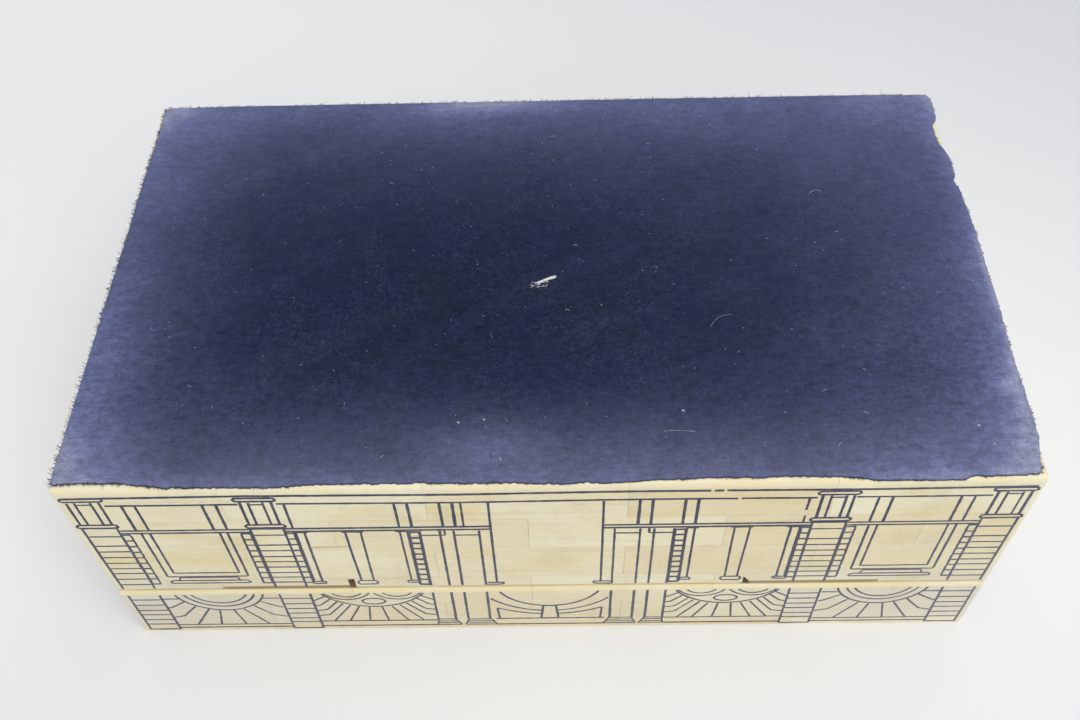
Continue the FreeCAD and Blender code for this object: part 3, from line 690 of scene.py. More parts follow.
@dataclass(frozen=True)
class FeltFinish:
    """Cut-pile felt: dark in the middle, paler towards its edges and corners from rubbing and painted sheen,
    with dust in the nap and painted shade along its cut edge.
    """

    name: str
    node: str
    deep: Colour
    dull: Colour
    rubbed: Colour
    dust: Colour = (0.195, 0.235, 0.46, 1.0)
    pale: Colour = (0.28, 0.295, 0.45, 1.0)
    # Reach and strength of the paling towards each edge, from rubbing and painted sheen.
    left_wear_and_sheen: tuple[float, float] = (19.5 * MM, 0.44)
    right_wear_and_sheen: tuple[float, float] = (41.5 * MM, 0.35)
    back_wear_and_sheen: tuple[float, float] = (23.0 * MM, 0.58)
    front_wear_and_sheen: tuple[float, float] = (15.0 * MM, 0.45)
    right_rim: tuple[float, float] = (3.2 * MM, 0.53)
    corner_reach: tuple[float, float] = (17.0 * MM, 60.0 * MM)
    corners: tuple[float, float, float] = (0.36, 0.30, 0.07)
    grey: Colour = (0.30, 0.30, 0.345, 1.0)
    greyed: float = 0.13
    patches: tuple[Patch, ...] = ()
    scratches: tuple[tuple[float, ...], ...] = (
        (0.25, 9.0, 700.0, 0.64, 0.07), (-0.6, 14.0, 60.0, 0.50, 0.022))
    # Dark colour and strength of the painted shade along the cut edge and down its side.
    edge: Colour = (0.011, 0.013, 0.030, 1.0)
    edge_shade: float = 0.75

    def material(self, groups: Groups) -> Material:
        """Make the finish.

        Args:
            groups: the shared shader groups.

        Returns:
            The material.
        """
        material, graph, shader, place = new_material(self.name)
        x, y, _ = graph.split(place)
        nap = graph.group(groups["nap"], Vector=place)
        fibre, brushed, mottle, weave = (nap.outputs[n] for n in ("Fibre", "Brushed", "Mottle", "Weave"))
        hue = graph.ease(graph.noise(place, 60.0, 3.0, 0.65), 0.38, 0.62)
        colour = graph.tint(hue, self.deep, self.dull)
        # Paler towards the edges and corners: rubbing, with painted sheen.
        worn = graph.mul(self.wear_and_sheen(graph, place), graph.mad(brushed, 0.3, 0.85), clamp=True)
        colour = graph.tint(worn, colour, graph.tint(graph.ease(worn, 0.7, 1.0), self.rubbed, self.pale))
        # Painted shade along the felt's cut edge and down its side.
        edge_shade = graph.node("ShaderNodeAttribute", attribute_name="edge_shade").outputs["Fac"]
        colour = graph.tint(graph.mul(graph.ease(edge_shade, 0.25, 0.95), self.edge_shade), colour, self.edge)
        grain = graph.mul(graph.sub(mottle, 0.5), graph.ease(y, -60 * MM, 60 * MM, 2.2, 1.3))
        grain = graph.add(grain, graph.mul(graph.sub(weave, 0.5),
                                           graph.ease(y, -60 * MM, 60 * MM, 0.7, 0.25)))
        shade = graph.add(graph.mad(fibre, 0.3, 0.85), grain)
        colour = graph.tint(1.0, colour, graph.join(shade, shade, shade), "MULTIPLY")
        dirt = graph.group(groups["soiling"], Vector=place, Size=9 * MM, Cover=0.28)
        haze = graph.ease(graph.noise(place, 75.0, 3.0, 0.6), 0.36, 0.66, 0.15, 1.0)
        fleck = graph.ease(graph.noise(place, 1300.0, 3.0, 0.8), 0.50, 0.68)
        colour = graph.tint(graph.mul(graph.mul(haze, fleck), 0.17), colour, self.dust)
        film = graph.ease(graph.noise(place, 330.0, 3.0, 0.75), 0.46, 0.74, 0.0, 0.035)
        colour = graph.tint(film, colour, self.dust)
        for slope, long, thin, start, most in self.scratches:
            along = graph.join(graph.mul(x, long), graph.mad(x, slope * thin, graph.mul(y, thin)), 0.0)
            streak = graph.ease(graph.noise(along, 1.0, 3.0, 0.6), start, start + 0.14, 0.0, most)
            colour = graph.tint(streak, colour, self.dust)
        colour = graph.tint(graph.ease(y, -80 * MM, -42 * MM, self.greyed, 0.0), colour, self.grey)
        colour = graph.tint(graph.mul(dirt.outputs["Speck"], 0.28), colour, self.dust)
        graph.fill(shader, Base_Color=colour, Roughness=graph.mad(fibre, 0.12, 0.86),
                   Specular_IOR_Level=0.15, Sheen_Weight=0.06, Sheen_Roughness=0.45,
                   Sheen_Tint=(0.62, 0.64, 0.85, 1.0))
        bump(graph, shader, graph.mad(brushed, 0.5, fibre), 0.12 * MM, 0.5)
        return material

    def wear_and_sheen(self, graph: Graph, place: Socket) -> Socket:
        """How far the nap is paled by rubbing and painted sheen, from its four edges, its corners and single
        patches.

        Args:
            graph: the material's graph.
            place: Object coordinates.

        Returns:
            The socket of rubbing and painted sheen, 0 for none.
        """
        x, y, _ = graph.split(place)
        half_length, half_width = half_size(self.node)
        left, right = graph.add(half_length, x), graph.sub(half_length, x)
        front, back = graph.add(half_width, y), graph.sub(half_width, y)
        wavy = graph.mul(graph.sub(graph.noise(place, 24.0, 3.0, 0.6), 0.5), 14 * MM)
        worn: Feed = 0.0
        for gap, (reach, most) in ((left, self.left_wear_and_sheen), (right, self.right_wear_and_sheen), (back, self.back_wear_and_sheen),
                                   (front, self.front_wear_and_sheen)):
            fall = graph.math("EXPONENT", graph.math("DIVIDE", graph.add(gap, wavy), -reach))
            worn = graph.mad(fall, most, worn)
        reach, most = self.right_rim
        fall = graph.math("EXPONENT", graph.math("DIVIDE", right, -reach))
        worn = graph.mad(fall, graph.ease(y, -half_width, half_width, most, 0.4 * most), worn)
        for across, along, most in zip((left, right, left), (front, front, back), self.corners):
            worn = graph.mad(self.bell(graph, across, along, *self.corner_reach), most, worn)
        for patch in self.patches:
            across, along = graph.sub(x, patch.x), graph.sub(y, patch.y)
            worn = graph.mad(self.bell(graph, across, along, patch.wide, patch.deep), patch.most, worn)
        return graph.mul(worn, graph.mad(graph.noise(place, 22.0, 4.0, 0.65), 1.2, 0.4))

    @staticmethod
    def bell(graph: Graph, across: Feed, along: Feed, wide: float, deep: float) -> Socket:
        """A soft round place.

        Args:
            graph: the material's graph.
            across: distance from its middle along the length.
            along: distance from its middle along the width.
            wide: its reach along the length.
            deep: its reach along the width.

        Returns:
            A socket that is 1 in the middle and falls to 0.
        """
        first, second = graph.math("DIVIDE", across, wide), graph.math("DIVIDE", along, deep)
        far = graph.mad(first, first, graph.mul(second, second))
        return graph.math("EXPONENT", graph.mul(far, -1.0))

    @staticmethod
    def nap_group() -> NodeTree:
        """Short fibres lying mostly along the length, for every felt.

        Returns:
            The shader group: Fibre for single fibres, Brushed for wider strokes, Mottle for uneven pile and
            Weave for threads.
        """
        graph, given, put = new_group("nap", "ShaderNodeTree", [("Vector", "Vector")],
                                      floats("Fibre", "Brushed", "Mottle", "Weave"))
        x, y, z = graph.split(given.outputs["Vector"])
        bend = graph.mul(graph.noise(given.outputs["Vector"], 60.0, 2.0, 0.5), 6 * MM)
        lean = graph.add(y, bend)
        fine = graph.drawn(x, 1300.0, lean, 4000.0, z, 3.0, 0.7)
        wide = graph.drawn(x, 60.0, lean, 520.0, z, 3.0, 0.6)
        graph.fill(put, Fibre=graph.ease(fine, 0.25, 0.75), Brushed=wide)
        pile = graph.join(graph.mul(x, 0.8), graph.mul(y, 1.15), z)
        graph.feed(put.inputs["Mottle"], graph.noise(pile, 380.0, 4.0, 0.92))
        threads = [graph.drawn(x, a, y, b, z, 1.0, 0.5)
                   for a, b in ((160.0, 1900.0), (1900.0, 220.0))]
        graph.feed(put.inputs["Weave"], graph.mad(threads[0], 0.6, graph.mul(threads[1], 0.4)))
        return graph.tree


@dataclass(frozen=True)
class WoodFinish:
    """Plain close-grained carcass wood, dry and a little dusty."""

    light: Colour = (0.42, 0.27, 0.14, 1.0)
    dark: Colour = (0.23, 0.13, 0.06, 1.0)
    pore: Colour = (0.10, 0.055, 0.028, 1.0)
    dust: Colour = (0.46, 0.40, 0.32, 1.0)

    @staticmethod
    def grain_group() -> NodeTree:
        """Growth rings and pores along a board.

        Returns:
            The shader group, with Ring and Pore from 0 to 1.
        """
        graph, given, put = new_group("wood_grain", "ShaderNodeTree",
                                      [("Along", "Float"), ("Across", "Float"), ("Up", "Float")],
                                      [("Ring", "Float"), ("Pore", "Float")])
        along, across, up = (given.outputs[n] for n in ("Along", "Across", "Up"))
        slow = graph.join(graph.mul(along, 5.0), graph.mul(across, 40.0),
                          graph.mul(up, 40.0))
        swirl = graph.noise(slow, 1.0, 3.0, 0.55)
        rings = graph.math("FRACT", graph.mul(swirl, 13.0))
        soft = graph.math("ABSOLUTE", graph.mad(rings, 2.0, -1.0))
        graph.feed(put.inputs["Ring"], soft)
        quick = graph.join(graph.mul(along, 120.0), graph.mul(across, 2400.0),
                           graph.mul(up, 2400.0))
        graph.feed(put.inputs["Pore"], graph.ease(graph.noise(quick, 1.0, 2.0, 0.6), 0.58, 0.7))
        return graph.tree

    def material(self, run: Run, groups: Groups) -> Material:
        """Make the finish for boards that run one way.

        Args:
            run: the direction of the boards.
            groups: the shared shader groups.

        Returns:
            The material.
        """
        material, graph, shader, place = new_material(f"carcass_wood_{run.name.lower()}")
        x, y, z = graph.split(place)
        along, across = (x, y) if run is Run.ALONG_X else (y, x)
        grain = graph.group(groups["grain"], Along=along, Across=across, Up=z)
        dirt = graph.group(groups["soiling"], Vector=place, Size=22 * MM, Cover=0.4)
        colour = graph.tint(grain.outputs["Ring"], self.dark, self.light)
        colour = graph.tint(graph.mul(grain.outputs["Pore"], 0.6), colour, self.pore)
        colour = graph.tint(graph.mul(dirt.outputs["Blotch"], 0.2), colour, self.dust)
        graph.fill(shader, Base_Color=colour, Roughness=graph.mad(grain.outputs["Ring"], 0.12, 0.52))
        bump(graph, shader, graph.sub(grain.outputs["Ring"], grain.outputs["Pore"]), 0.08 * MM, 0.4)
        return material


@dataclass(frozen=True)
class BrassFinish:
    """Old brass with a brown bloom and fine rubbing."""

    bright: Colour = (0.70, 0.50, 0.21, 1.0)
    bloom: Colour = (0.26, 0.16, 0.07, 1.0)

    def material(self, groups: Groups) -> Material:
        """Make the finish.

        Args:
            groups: the shared shader groups.

        Returns:
            The material.
        """
        material, graph, shader, place = new_material("aged_brass")
        dirt = graph.group(groups["soiling"], Vector=place, Size=5 * MM, Cover=0.62)
        x, y, z = graph.split(place)
        rub = graph.noise(graph.join(graph.mul(x, 160.0), graph.mul(y, 3000.0),
                                     graph.mul(z, 3000.0)), 1.0, 2.0, 0.6)
        graph.feed(shader.inputs["Base Color"],
                   graph.tint(graph.mul(dirt.outputs["Blotch"], 0.75), self.bright, self.bloom))
        shader.inputs["Metallic"].default_value = 1.0
        rough = graph.mad(rub, 0.22, 0.24)
        graph.feed(shader.inputs["Roughness"], graph.mad(dirt.outputs["Blotch"], 0.25, rough))
        bump(graph, shader, rub, 0.02 * MM, 0.3)
        return material


@dataclass(frozen=True)
class FibreFinish:
    """Loose threads and lint."""

    name: str
    colour: Colour
    faded: Colour

    def material(self) -> Material:
        """Make the finish."""
        material, graph, shader, place = new_material(self.name)
        patch = graph.ease(graph.noise(place, 420.0, 2.0, 0.5), 0.35, 0.65)
        graph.fill(shader, Base_Color=graph.tint(patch, self.colour, self.faded),
                   Roughness=graph.mad(patch, 0.1, 0.8))
        return material


@dataclass(frozen=True)
class FloorFinish:
    """Pale paper sweep under the box, with painted shade towards the front and towards the back right."""

    paper: Colour = (0.980, 0.984, 0.992, 1.0)
    shade: Colour = (0.745, 0.758, 0.780, 1.0)
    front_shade: Colour = (0.775, 0.795, 0.836, 1.0)

    def material(self) -> Material:
        """Make the finish."""
        material, graph, shader, place = new_material("paper_floor")
        x, y, _ = graph.split(place)
        # Darker towards the front and towards the back right: painted shade on the paper.
        far = graph.mad(x, 0.75, graph.mul(y, 0.66))
        colour = graph.tint(graph.ease(y, -0.20, -0.02), self.front_shade, self.paper)
        graph.fill(shader, Base_Color=graph.tint(graph.ease(far, 0.0, 0.4), colour, self.shade),
                   Roughness=0.85, Specular_IOR_Level=0.2)
        return material


def plain_mesh(source: bpy.types.Object, name: str) -> bpy.types.Object:
    """Turn an object with a node modifier into a plain mesh piece.

    Args:
        source: the object that carries the modifier; it is removed.
        name: the new piece's name.

    Returns:
        The plain piece, at the origin.
    """
    bpy.context.view_layer.update()
    graph = bpy.context.evaluated_depsgraph_get()
    mesh = bpy.data.meshes.new_from_object(
        source.evaluated_get(graph), preserve_all_data_layers=True, depsgraph=graph)
    mesh.name = name
    old = source.data
    bpy.data.objects.remove(source)
    bpy.data.meshes.remove(old)
    piece = bpy.data.objects.new(name, mesh)
    bpy.context.scene.collection.objects.link(piece)
    return piece


def run_nodes(mesh: bpy.types.Mesh, tree: NodeTree, name: str, **values: object) -> bpy.types.Object:
    """Run a geometry tree on a mesh and keep the result as a plain piece.

    Args:
        mesh: what goes in.
        tree: the tree.
        name: the piece's name.
        values: the tree's inputs by name, with an underscore for each space.

    Returns:
        The plain piece.
    """
    carrier = bpy.data.objects.new(f"{name}_carrier", mesh)
    bpy.context.scene.collection.objects.link(carrier)
    modifier = carrier.modifiers.new("nodes", "NODES")
    modifier.node_group = tree
    for item in tree.interface.items_tree:
        key = item.name.replace(" ", "_")
        if item.in_out == "INPUT" and key in values:
            modifier[item.identifier] = values[key]
    return plain_mesh(carrier, name)


def finish_piece(piece: bpy.types.Object, body: Body, slot: str) -> None:
    """Let a piece ride its body.

    Args:
        piece: the piece.
        body: the body it rides.
        slot: the record's material slot; not used.
    """
    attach(piece, body.value)
    log.info("%s: %d faces, rides %s", piece.name, len(piece.data.polygons), body.value)


class Pen:
    """Collects one face's engraved strokes on one body, in millimetres along the face and above the floor."""

    SHIFT = 0.09
    SHAKE = 0.04
    PRESS = (0.9, 1.1)

    def __init__(self, seed: int, lowest: float, highest: float, limit: float) -> None:
        """Start with no strokes.

        Args:
            seed: for the hand's small unevenness.
            lowest: strokes are cut off below this height.
            highest: strokes are cut off above this height.
            limit: strokes stay this near the face's middle.
        """
        self.random = random.Random(seed)
        self.lowest, self.highest, self.limit = lowest, highest, limit
        self.strokes: list[tuple[list[Point], float]] = []

    def draw(self, points: Sequence[Point], weight: float = 1.0) -> None:
        """One stroke, with a hand's unevenness, cut to the face.

        Args:
            points: the stroke's corners.
            weight: its width, 1 for a usual line.
        """
        shift = [self.random.uniform(-self.SHIFT, self.SHIFT) for _ in range(2)]
        moved = [(x + shift[0] + self.random.uniform(-self.SHAKE, self.SHAKE),
                  z + shift[1] + self.random.uniform(-self.SHAKE, self.SHAKE)) for x, z in points]
        for part in self.cut(moved):
            self.strokes.append((part, weight * self.random.uniform(*self.PRESS)))

    def cut(self, points: Sequence[Point]) -> Iterable[list[Point]]:
        """The parts of a stroke that lie between the height limits.

        Args:
            points: the stroke's corners.

        Returns:
            Each part that is left.
        """
        part: list[Point] = []
        clamped = [(max(-self.limit, min(self.limit, x)), z) for x, z in points]
        for first, second in zip(clamped, clamped[1:]):
            x0, z0 = first
            x1, z1 = second
            start, end = 0.0, 1.0
            rise = z1 - z0
            if abs(rise) < 1e-9:
                if not self.lowest <= z0 <= self.highest:
                    start, end = 1.0, 0.0
            else:
                reach = sorted(((self.lowest - z0) / rise, (self.highest - z0) / rise))
                start, end = max(0.0, reach[0]), min(1.0, reach[1])
            if start >= end:
                if part:
                    yield part
                part = []
                continue
            enter = (x0 + (x1 - x0) * start, z0 + rise * start)
            leave = (x0 + (x1 - x0) * end, z0 + rise * end)
            if not part or start > 0.0:
                if part:
                    yield part
                part = [enter]
            part.append(leave)
        if len(part) > 1:
            yield part

    def pair(self, points: Sequence[Point], weight: float = 1.0) -> None:
        """The same stroke on both sides of the middle."""
        self.draw(points, weight)
        self.draw([(-x, z) for x, z in points], weight)

    def slab(self, near: float, far: float, low: float, high: float, weight: float = 1.0) -> None:
        """A rounded slab on both sides of the middle.

        Args:
            near: edge nearer the middle.
            far: edge farther from it.
            low: lower height.
            high: upper height.
            weight: line width.
        """
        r = min(0.5, (high - low) * 0.3)
        self.pair([(near + r, low), (far - r, low), (far, low + r), (far, high - r), (far - r, high),
                   (near + r, high), (near, high - r), (near, low + r), (near + r, low)], weight)

    def arc(self, middle: float, centre: float, radius: float, start: float, end: float,
            weight: float = 1.0) -> None:
        """An arch line on both sides of the middle, bulging towards the floor.

        Args:
            middle: the arch's own middle along the face.
            centre: height of its centre.
            radius: its radius.
            start: first end, from the arch's middle.
            end: last end, from the arch's middle.
            weight: line width.
        """
        first, last = (math.asin(max(-1.0, min(1.0, value / radius))) for value in (start, end))
        steps = max(6, int(abs(last - first) * radius / 0.8))
        turns = [first + (last - first) * n / steps for n in range(steps + 1)]
        points = [(middle + radius * math.sin(a), centre - radius * math.cos(a)) for a in turns]
        if abs(middle) < 1e-6 and abs(start + end) < 1e-6:
            self.draw(points, weight)
        else:
            self.pair(points, weight)

    def mesh(self, name: str) -> bpy.types.Mesh:
        """The strokes as chains of edges in the face's own upright plane.

        Args:
            name: the mesh's name.

        Returns:
            The mesh, with the line width of each point in its weight attribute.
        """
        corners: list[Spot] = []
        edges: list[tuple[int, int]] = []
        weights: list[float] = []
        for points, weight in self.strokes:
            first = len(corners)
            corners += [(x * MM, 0.0, z * MM) for x, z in points]
            weights += [weight] * len(points)
            edges += [(first + n, first + n + 1) for n in range(len(points) - 1)]
        mesh = bpy.data.meshes.new(name)
        mesh.from_pydata(corners, edges, [])
        point_values(mesh, "weight", weights)
        return mesh


@dataclass
class HouseFront:
    """A classical house front, upside down on the lid and the case, in millimetres from the face's middle."""

    wings: bool = True
    shift: float = 0.0
    string_course: Point = (62.8, 64.3)
    ground: float = 77.4
    foot_line: float = 81.4
    lid_top: float = 1.6
    lid_border: float = 2.8

    def draw(self, lid: Pen, case: Pen) -> None:
        """Draw the whole front.

        Args:
            lid: the lid's pen.
            case: the case's pen.
        """
        out = self.shift
        self.pilaster(lid, case, 116.2 - out, 125.6 - out, (5.3, 8.6, 12.0, 15.1, 18.7, 22.3),
                      (32.5, 35.9, 39.5, 42.5, 45.8, 49.2, 52.5, 55.9, 61.2), 65.7)
        self.window_bay(lid, case, 98.5 - out)
        self.pilaster(lid, case, 71.2 - out, 80.3 - out, (5.9, 8.7, 12.1, 15.3, 18.7, 22.1),
                      (33.1, 36.1, 39.0, 42.4, 45.6, 48.7, 52.0, 55.3, 60.9, 64.3), 64.9)
        if self.wings:
            self.loggia_bay(lid, case, 52.8)
            self.paired_pilasters(lid, case)
            self.door(lid, case)
        else:
            self.narrow_door(lid, case)
        self.ground_lines(case)

    def pilaster(self, lid: Pen, case: Pen, near: float, far: float, lid_bands: Sequence[float],
                 case_bands: Sequence[float], cap: float) -> None:
        """A rusticated pilaster on its pedestal.

        Args:
            lid: the lid's pen.
            case: the case's pen.
            near: edge nearer the middle.
            far: edge farther from it.
            lid_bands: heights of its joints on the lid.
            case_bands: heights of its joints on the case.
            cap: where the pedestal's cap begins.
        """
        for x in (near, far):
            lid.pair([(x, self.lid_top), (x, 14.0), (x, 26.0)], 1.05)
            case.pair([(x, 28.0), (x, 46.0), (x, cap)], 1.05)
        lid.pair([(near - 0.1, self.lid_top), (far + 0.1, self.lid_top)], 1.0)
        for z in lid_bands:
            lid.pair([(near, z), (far, z)], 0.95)
        for z in case_bands:
            case.pair([(near, z), (far, z)], 0.95)
        case.slab(near - 0.8, far + 0.9, cap + 0.1, cap + 1.8, 1.15)
        for x, weight in ((far - 0.3, 1.15), (far - 2.4, 1.0), (near + 2.8, 1.0), (near + 0.5, 1.15)):
            case.pair([(x, cap + 1.9), (x, cap + 13.4)], weight)
        case.pair([(near + 2.8, cap + 12.4), (far - 2.4, cap + 12.4)], 0.95)
        case.slab(near - 0.9, far + 1.0, cap + 13.9, cap + 15.5, 1.2)

    def quoins(self, case: Pen, flat: float, bulge: float, low: float, high: float, pitch: float = 3.25,
               weight: float = 1.1) -> None:
        """A strip of small blocks beside a pilaster.

        Args:
            case: the case's pen.
            flat: its straight side.
            bulge: its outer side, notched a little at each rung.
            low: lower height.
            high: upper height.
            pitch: from block to block.
            weight: width of the rungs.
        """
        out = 1.0 if bulge > flat else -1.0
        count = round((high - low) / pitch)
        edge: list[Point] = []
        for n in range(count + 1):
            z = low + n * pitch
            case.pair([(flat, z), (bulge, z + 0.08)], weight)
            edge += [(bulge - 0.12 * out, z), (bulge, z + pitch * 0.25), (bulge, z + pitch * 0.75)]
        case.pair(edge[:-2], 0.85 * weight)
        case.pair([(flat, low - 0.3), (flat, high)], 0.8 * weight)

    def window_bay(self, lid: Pen, case: Pen, middle: float) -> None:
        """A tall window with its cornice, and the fan-light over it.

        Args:
            lid: the lid's pen.
            case: the case's pen.
            middle: the window's middle.
        """
        m = middle
        self.quoins(case, m + 17.5, m + 15.0, 32.6, 61.8)
        self.quoins(case, m - 17.9, m - 15.1, 32.6, 61.8)
        for half, top, weight in ((11.75, 37.1, 1.05), (9.5, 39.3, 0.95)):
            case.pair([(m - half, self.string_course[0]), (m - half, top), (m + half, top),
                       (m + half, self.string_course[0])], weight)
        case.pair([(m - 8.4, 36.5), (m - 8.9, 34.65), (m + 8.9, 34.65), (m + 8.4, 36.5), (m - 8.4, 36.5)],
                  0.9)
        case.pair([(m - 10.8, 34.5), (m - 11.8, 33.6), (m - 11.6, 32.9), (m + 11.6, 32.9), (m + 11.8, 33.6),
                   (m + 10.8, 34.5), (m - 10.8, 34.5)], 1.0)
        for z in self.string_course:
            case.pair([(m - 18.0, z), (m + 17.5, z)], 1.15)
        for x in (12.7, 9.3, -8.5, -12.0):
            case.pair([(m + x, self.string_course[1]), (m + x, self.ground)], 1.1)
        for radius, reach, weight in ((13.65, 13.3, 1.0), (11.1, 10.6, 0.95), (8.9, 8.2, 0.95)):
            lid.arc(m, 28.6, radius, -reach, reach, weight)
        for side in (-1.0, 1.0):
            wall = 17.6
            lid.pair([(m + side * 12.3, 22.6), (m + side * wall, 22.6)], 0.95)
            lid.pair([(m + side * 2.1, 14.6), (m + side * 3.8, 5.0)], 0.9)
            lid.pair([(m + side * 5.3, 15.5), (m + side * 11.1, 5.0)], 0.9)
            lid.pair([(m + side * 8.9, 17.6), (m + side * 13.8, 11.2), (m + side * wall, 10.0)], 0.9)
            lid.pair([(m + side * 11.5, 20.6), (m + side * 16.4, 16.9), (m + side * wall, 16.5)], 0.9)
        for z in (self.lid_border, 4.8):
            lid.pair([(m - 18.0, z), (m + 17.6, z)], 1.0)

    def loggia_bay(self, lid: Pen, case: Pen, middle: float) -> None:
        """Two open arches on columns, with a round window and rays over them.

        Args:
            lid: the lid's pen.
            case: the case's pen.
            middle: the bay's middle.
        """
        self.quoins(case, 71.2, 68.7, 32.6, 61.8)
        for left, right, cap_left, cap_right in ((65.9, 68.3, 65.0, 68.8), (37.9, 40.0, 37.6, 41.0)):
            for x in (left, right):
                case.pair([(x, 33.2), (x, 62.2)], 0.95)
            case.pair([(cap_left, 33.1), (cap_left - 0.1, 31.9), (cap_right, 31.8), (cap_right, 33.1),
                       (cap_left, 33.1)])
        case.pair([(50.7, 62.2), (50.9, 46.0), (51.0, 33.5)])
        case.pair([(54.9, 62.2), (54.7, 46.0), (54.5, 33.5)])
        case.slab(49.9, 55.6, 31.2, 33.4)
        for low, high in ((37.9, 41.2), (49.9, 55.8), (65.0, 68.9)):
            case.pair([(low, 62.2), (high, 62.2)], 0.9)
        for z in self.string_course:
            case.pair([(15.1, z), (71.2, z)], 1.25)
        for x in (39.8, 36.4, 28.0, 24.6):
            case.pair([(x, self.string_course[1]), (x, self.ground)], 1.2)
        case.draw([(-68.6, self.string_course[1]), (-68.6, self.ground)], 0.95)
        case.draw([(68.6, self.string_course[1]), (68.6, 68.2)], 0.9)
        case.draw([(68.5, 71.0), (68.6, self.ground)], 0.95)
        case.draw([(-66.0, 53.6), (-61.0, 53.9), (-55.0, 53.8)], 0.4)
        case.draw([(-22.4, self.string_course[1]), (-22.4, self.ground)], 0.9)
        lid.arc(middle, 33.9, 17.7, -15.2, 15.2)
        turns = [math.tau * n / 24 for n in range(25)]
        oval = [(middle + 3.5 * math.cos(a), 19.65 + 1.9 * math.sin(a)) for a in turns]
        lid.pair(oval, 0.95)
        for out in (-7.6, 7.6):
            for half, peak in ((6.9, 21.1), (4.3, 22.8)):
                drop = 25.2 - peak
                radius = (half * half + drop * drop) / (2 * drop)
                lid.arc(middle + out, peak + radius, radius, -half, half, 0.95)
        rays = (((2.0, 15.9), (3.0, 6.5)), ((4.9, 16.2), (9.0, 6.5)), ((7.5, 17.1), (13.8, 6.5)),
                ((9.6, 18.3), (14.8, 10.7), (18.2, 10.0)), ((11.3, 19.6), (15.0, 14.4), (18.2, 13.7)),
                ((13.1, 21.4), (16.5, 17.4), (18.2, 17.0)), ((14.4, 23.2), (18.0, 20.4)))
        for ray in rays:
            for side in (-1.0, 1.0):
                lid.pair([(middle + side * x, z) for x, z in ray], 0.9)
        for z in (self.lid_border, 6.3):
            lid.pair([(middle - 18.0, z), (middle + 18.3, z)], 1.0)

    def paired_pilasters(self, lid: Pen, case: Pen) -> None:
        """The two pilasters each side of the door, with stepped capitals on the lid.

        Args:
            lid: the lid's pen.
            case: the case's pen.
        """
        self.quoins(case, 34.7, 37.7, 30.6, 61.8, 3.1, 1.4)
        for x in (34.5, 29.1, 25.3, 18.4):
            lid.pair([(x, 6.7), (x, 15.0), (x, 26.0)], 1.1)
            case.pair([(x, 28.0), (x, 45.0), (x, 62.2)], 1.0)
        steps = (2.8, 4.1, 5.4, 6.7)
        for n, z in enumerate(steps):
            share = n / (len(steps) - 1)
            lid.pair([(27.4 + 1.7 * share, z), (34.9 - 0.4 * share, z)], 0.85)
            lid.pair([(16.4 + 1.6 * share, z), (26.4 - 1.3 * share, z)], 0.85)
        for first, last in (((27.4, 2.8), (29.1, 6.7)), ((34.9, 2.8), (34.5, 6.7)),
                            ((16.4, 2.8), (18.0, 6.7)), ((26.4, 2.8), (25.1, 6.7))):
            lid.pair([first, last], 0.75)
        case.pair([(27.7, 62.6), (27.7, 59.8), (34.5, 59.8)], 1.0)
        case.pair([(18.4, 59.8), (25.3, 59.8)], 1.0)

    def door(self, lid: Pen, case: Pen) -> None:
        """The door in the middle, with its arch and keystone on the lid.

        Args:
            lid: the lid's pen.
            case: the case's pen.
        """
        case.pair([(15.1, 31.3), (15.1, 50.0), (15.1, self.ground - 0.5)], 1.0)
        case.pair([(13.0, 31.3), (13.2, 30.1), (18.0, 30.0)], 1.0)
        case.pair([(13.0, 31.3), (18.0, 31.3)], 1.0)
        lid.arc(0.0, 31.6, 16.0, -14.9, 14.9, 1.05)
        lid.arc(0.0, 34.4, 22.3, 2.2, 17.6, 1.0)
        lid.arc(0.0, 40.4, 30.6, 2.3, 15.7, 1.0)
        lid.pair([(15.5, 6.8), (15.9, 14.3)], 0.95)
        lid.draw([(-2.65, 6.9), (-1.9, 15.5), (1.9, 15.5), (2.65, 6.9), (-2.65, 6.9)], 1.0)
        for z in (self.lid_border, 6.8):
            lid.draw([(-16.6, z), (16.6, z)], 1.0)

    def narrow_door(self, lid: Pen, case: Pen) -> None:
        """The smaller door in the middle of an end, between the inner pilasters.

        Args:
            lid: the lid's pen.
            case: the case's pen.
        """
        case.pair([(12.4, 31.3), (12.4, 50.0), (12.4, self.ground - 0.5)], 1.1)
        case.pair([(15.2, 31.3), (15.2, 62.2)], 1.0)
        case.pair([(10.6, 31.3), (10.8, 30.1), (16.0, 30.0)], 1.0)
        case.pair([(10.6, 31.3), (16.0, 31.3)], 1.0)
        lid.arc(0.0, 29.6, 13.4, -12.4, 12.4, 1.05)
        lid.arc(0.0, 32.2, 19.0, 2.2, 15.4, 1.0)
        lid.arc(0.0, 37.4, 26.4, 2.3, 15.2, 1.0)
        lid.draw([(-2.5, 6.9), (-1.8, 16.1), (1.8, 16.1), (2.5, 6.9), (-2.5, 6.9)], 1.0)
        for z in (self.lid_border, 6.8):
            lid.draw([(-17.6, z), (17.6, z)], 1.0)
        for z in self.string_course:
            case.pair([(12.4, z), (17.8, z)], 1.0)

    def ground_lines(self, case: Pen) -> None:
        """The two lines the house stands on, the lower one worn through in places.

        Args:
            case: the case's pen.
        """
        edge = 126.6 - self.shift
        case.pair([(80.6 - self.shift, self.ground), (98.0 - self.shift, self.ground - 0.1),
                   (115.6 - self.shift, self.ground)], 1.15)
        near = 70.9 - self.shift
        self.worn_line(case, self.ground, (-near, near) if not self.wings else (-near, 50.4, near))
        self.worn_line(case, self.foot_line, (-edge, edge) if not self.wings else (-edge, 43.0, 46.3, edge))

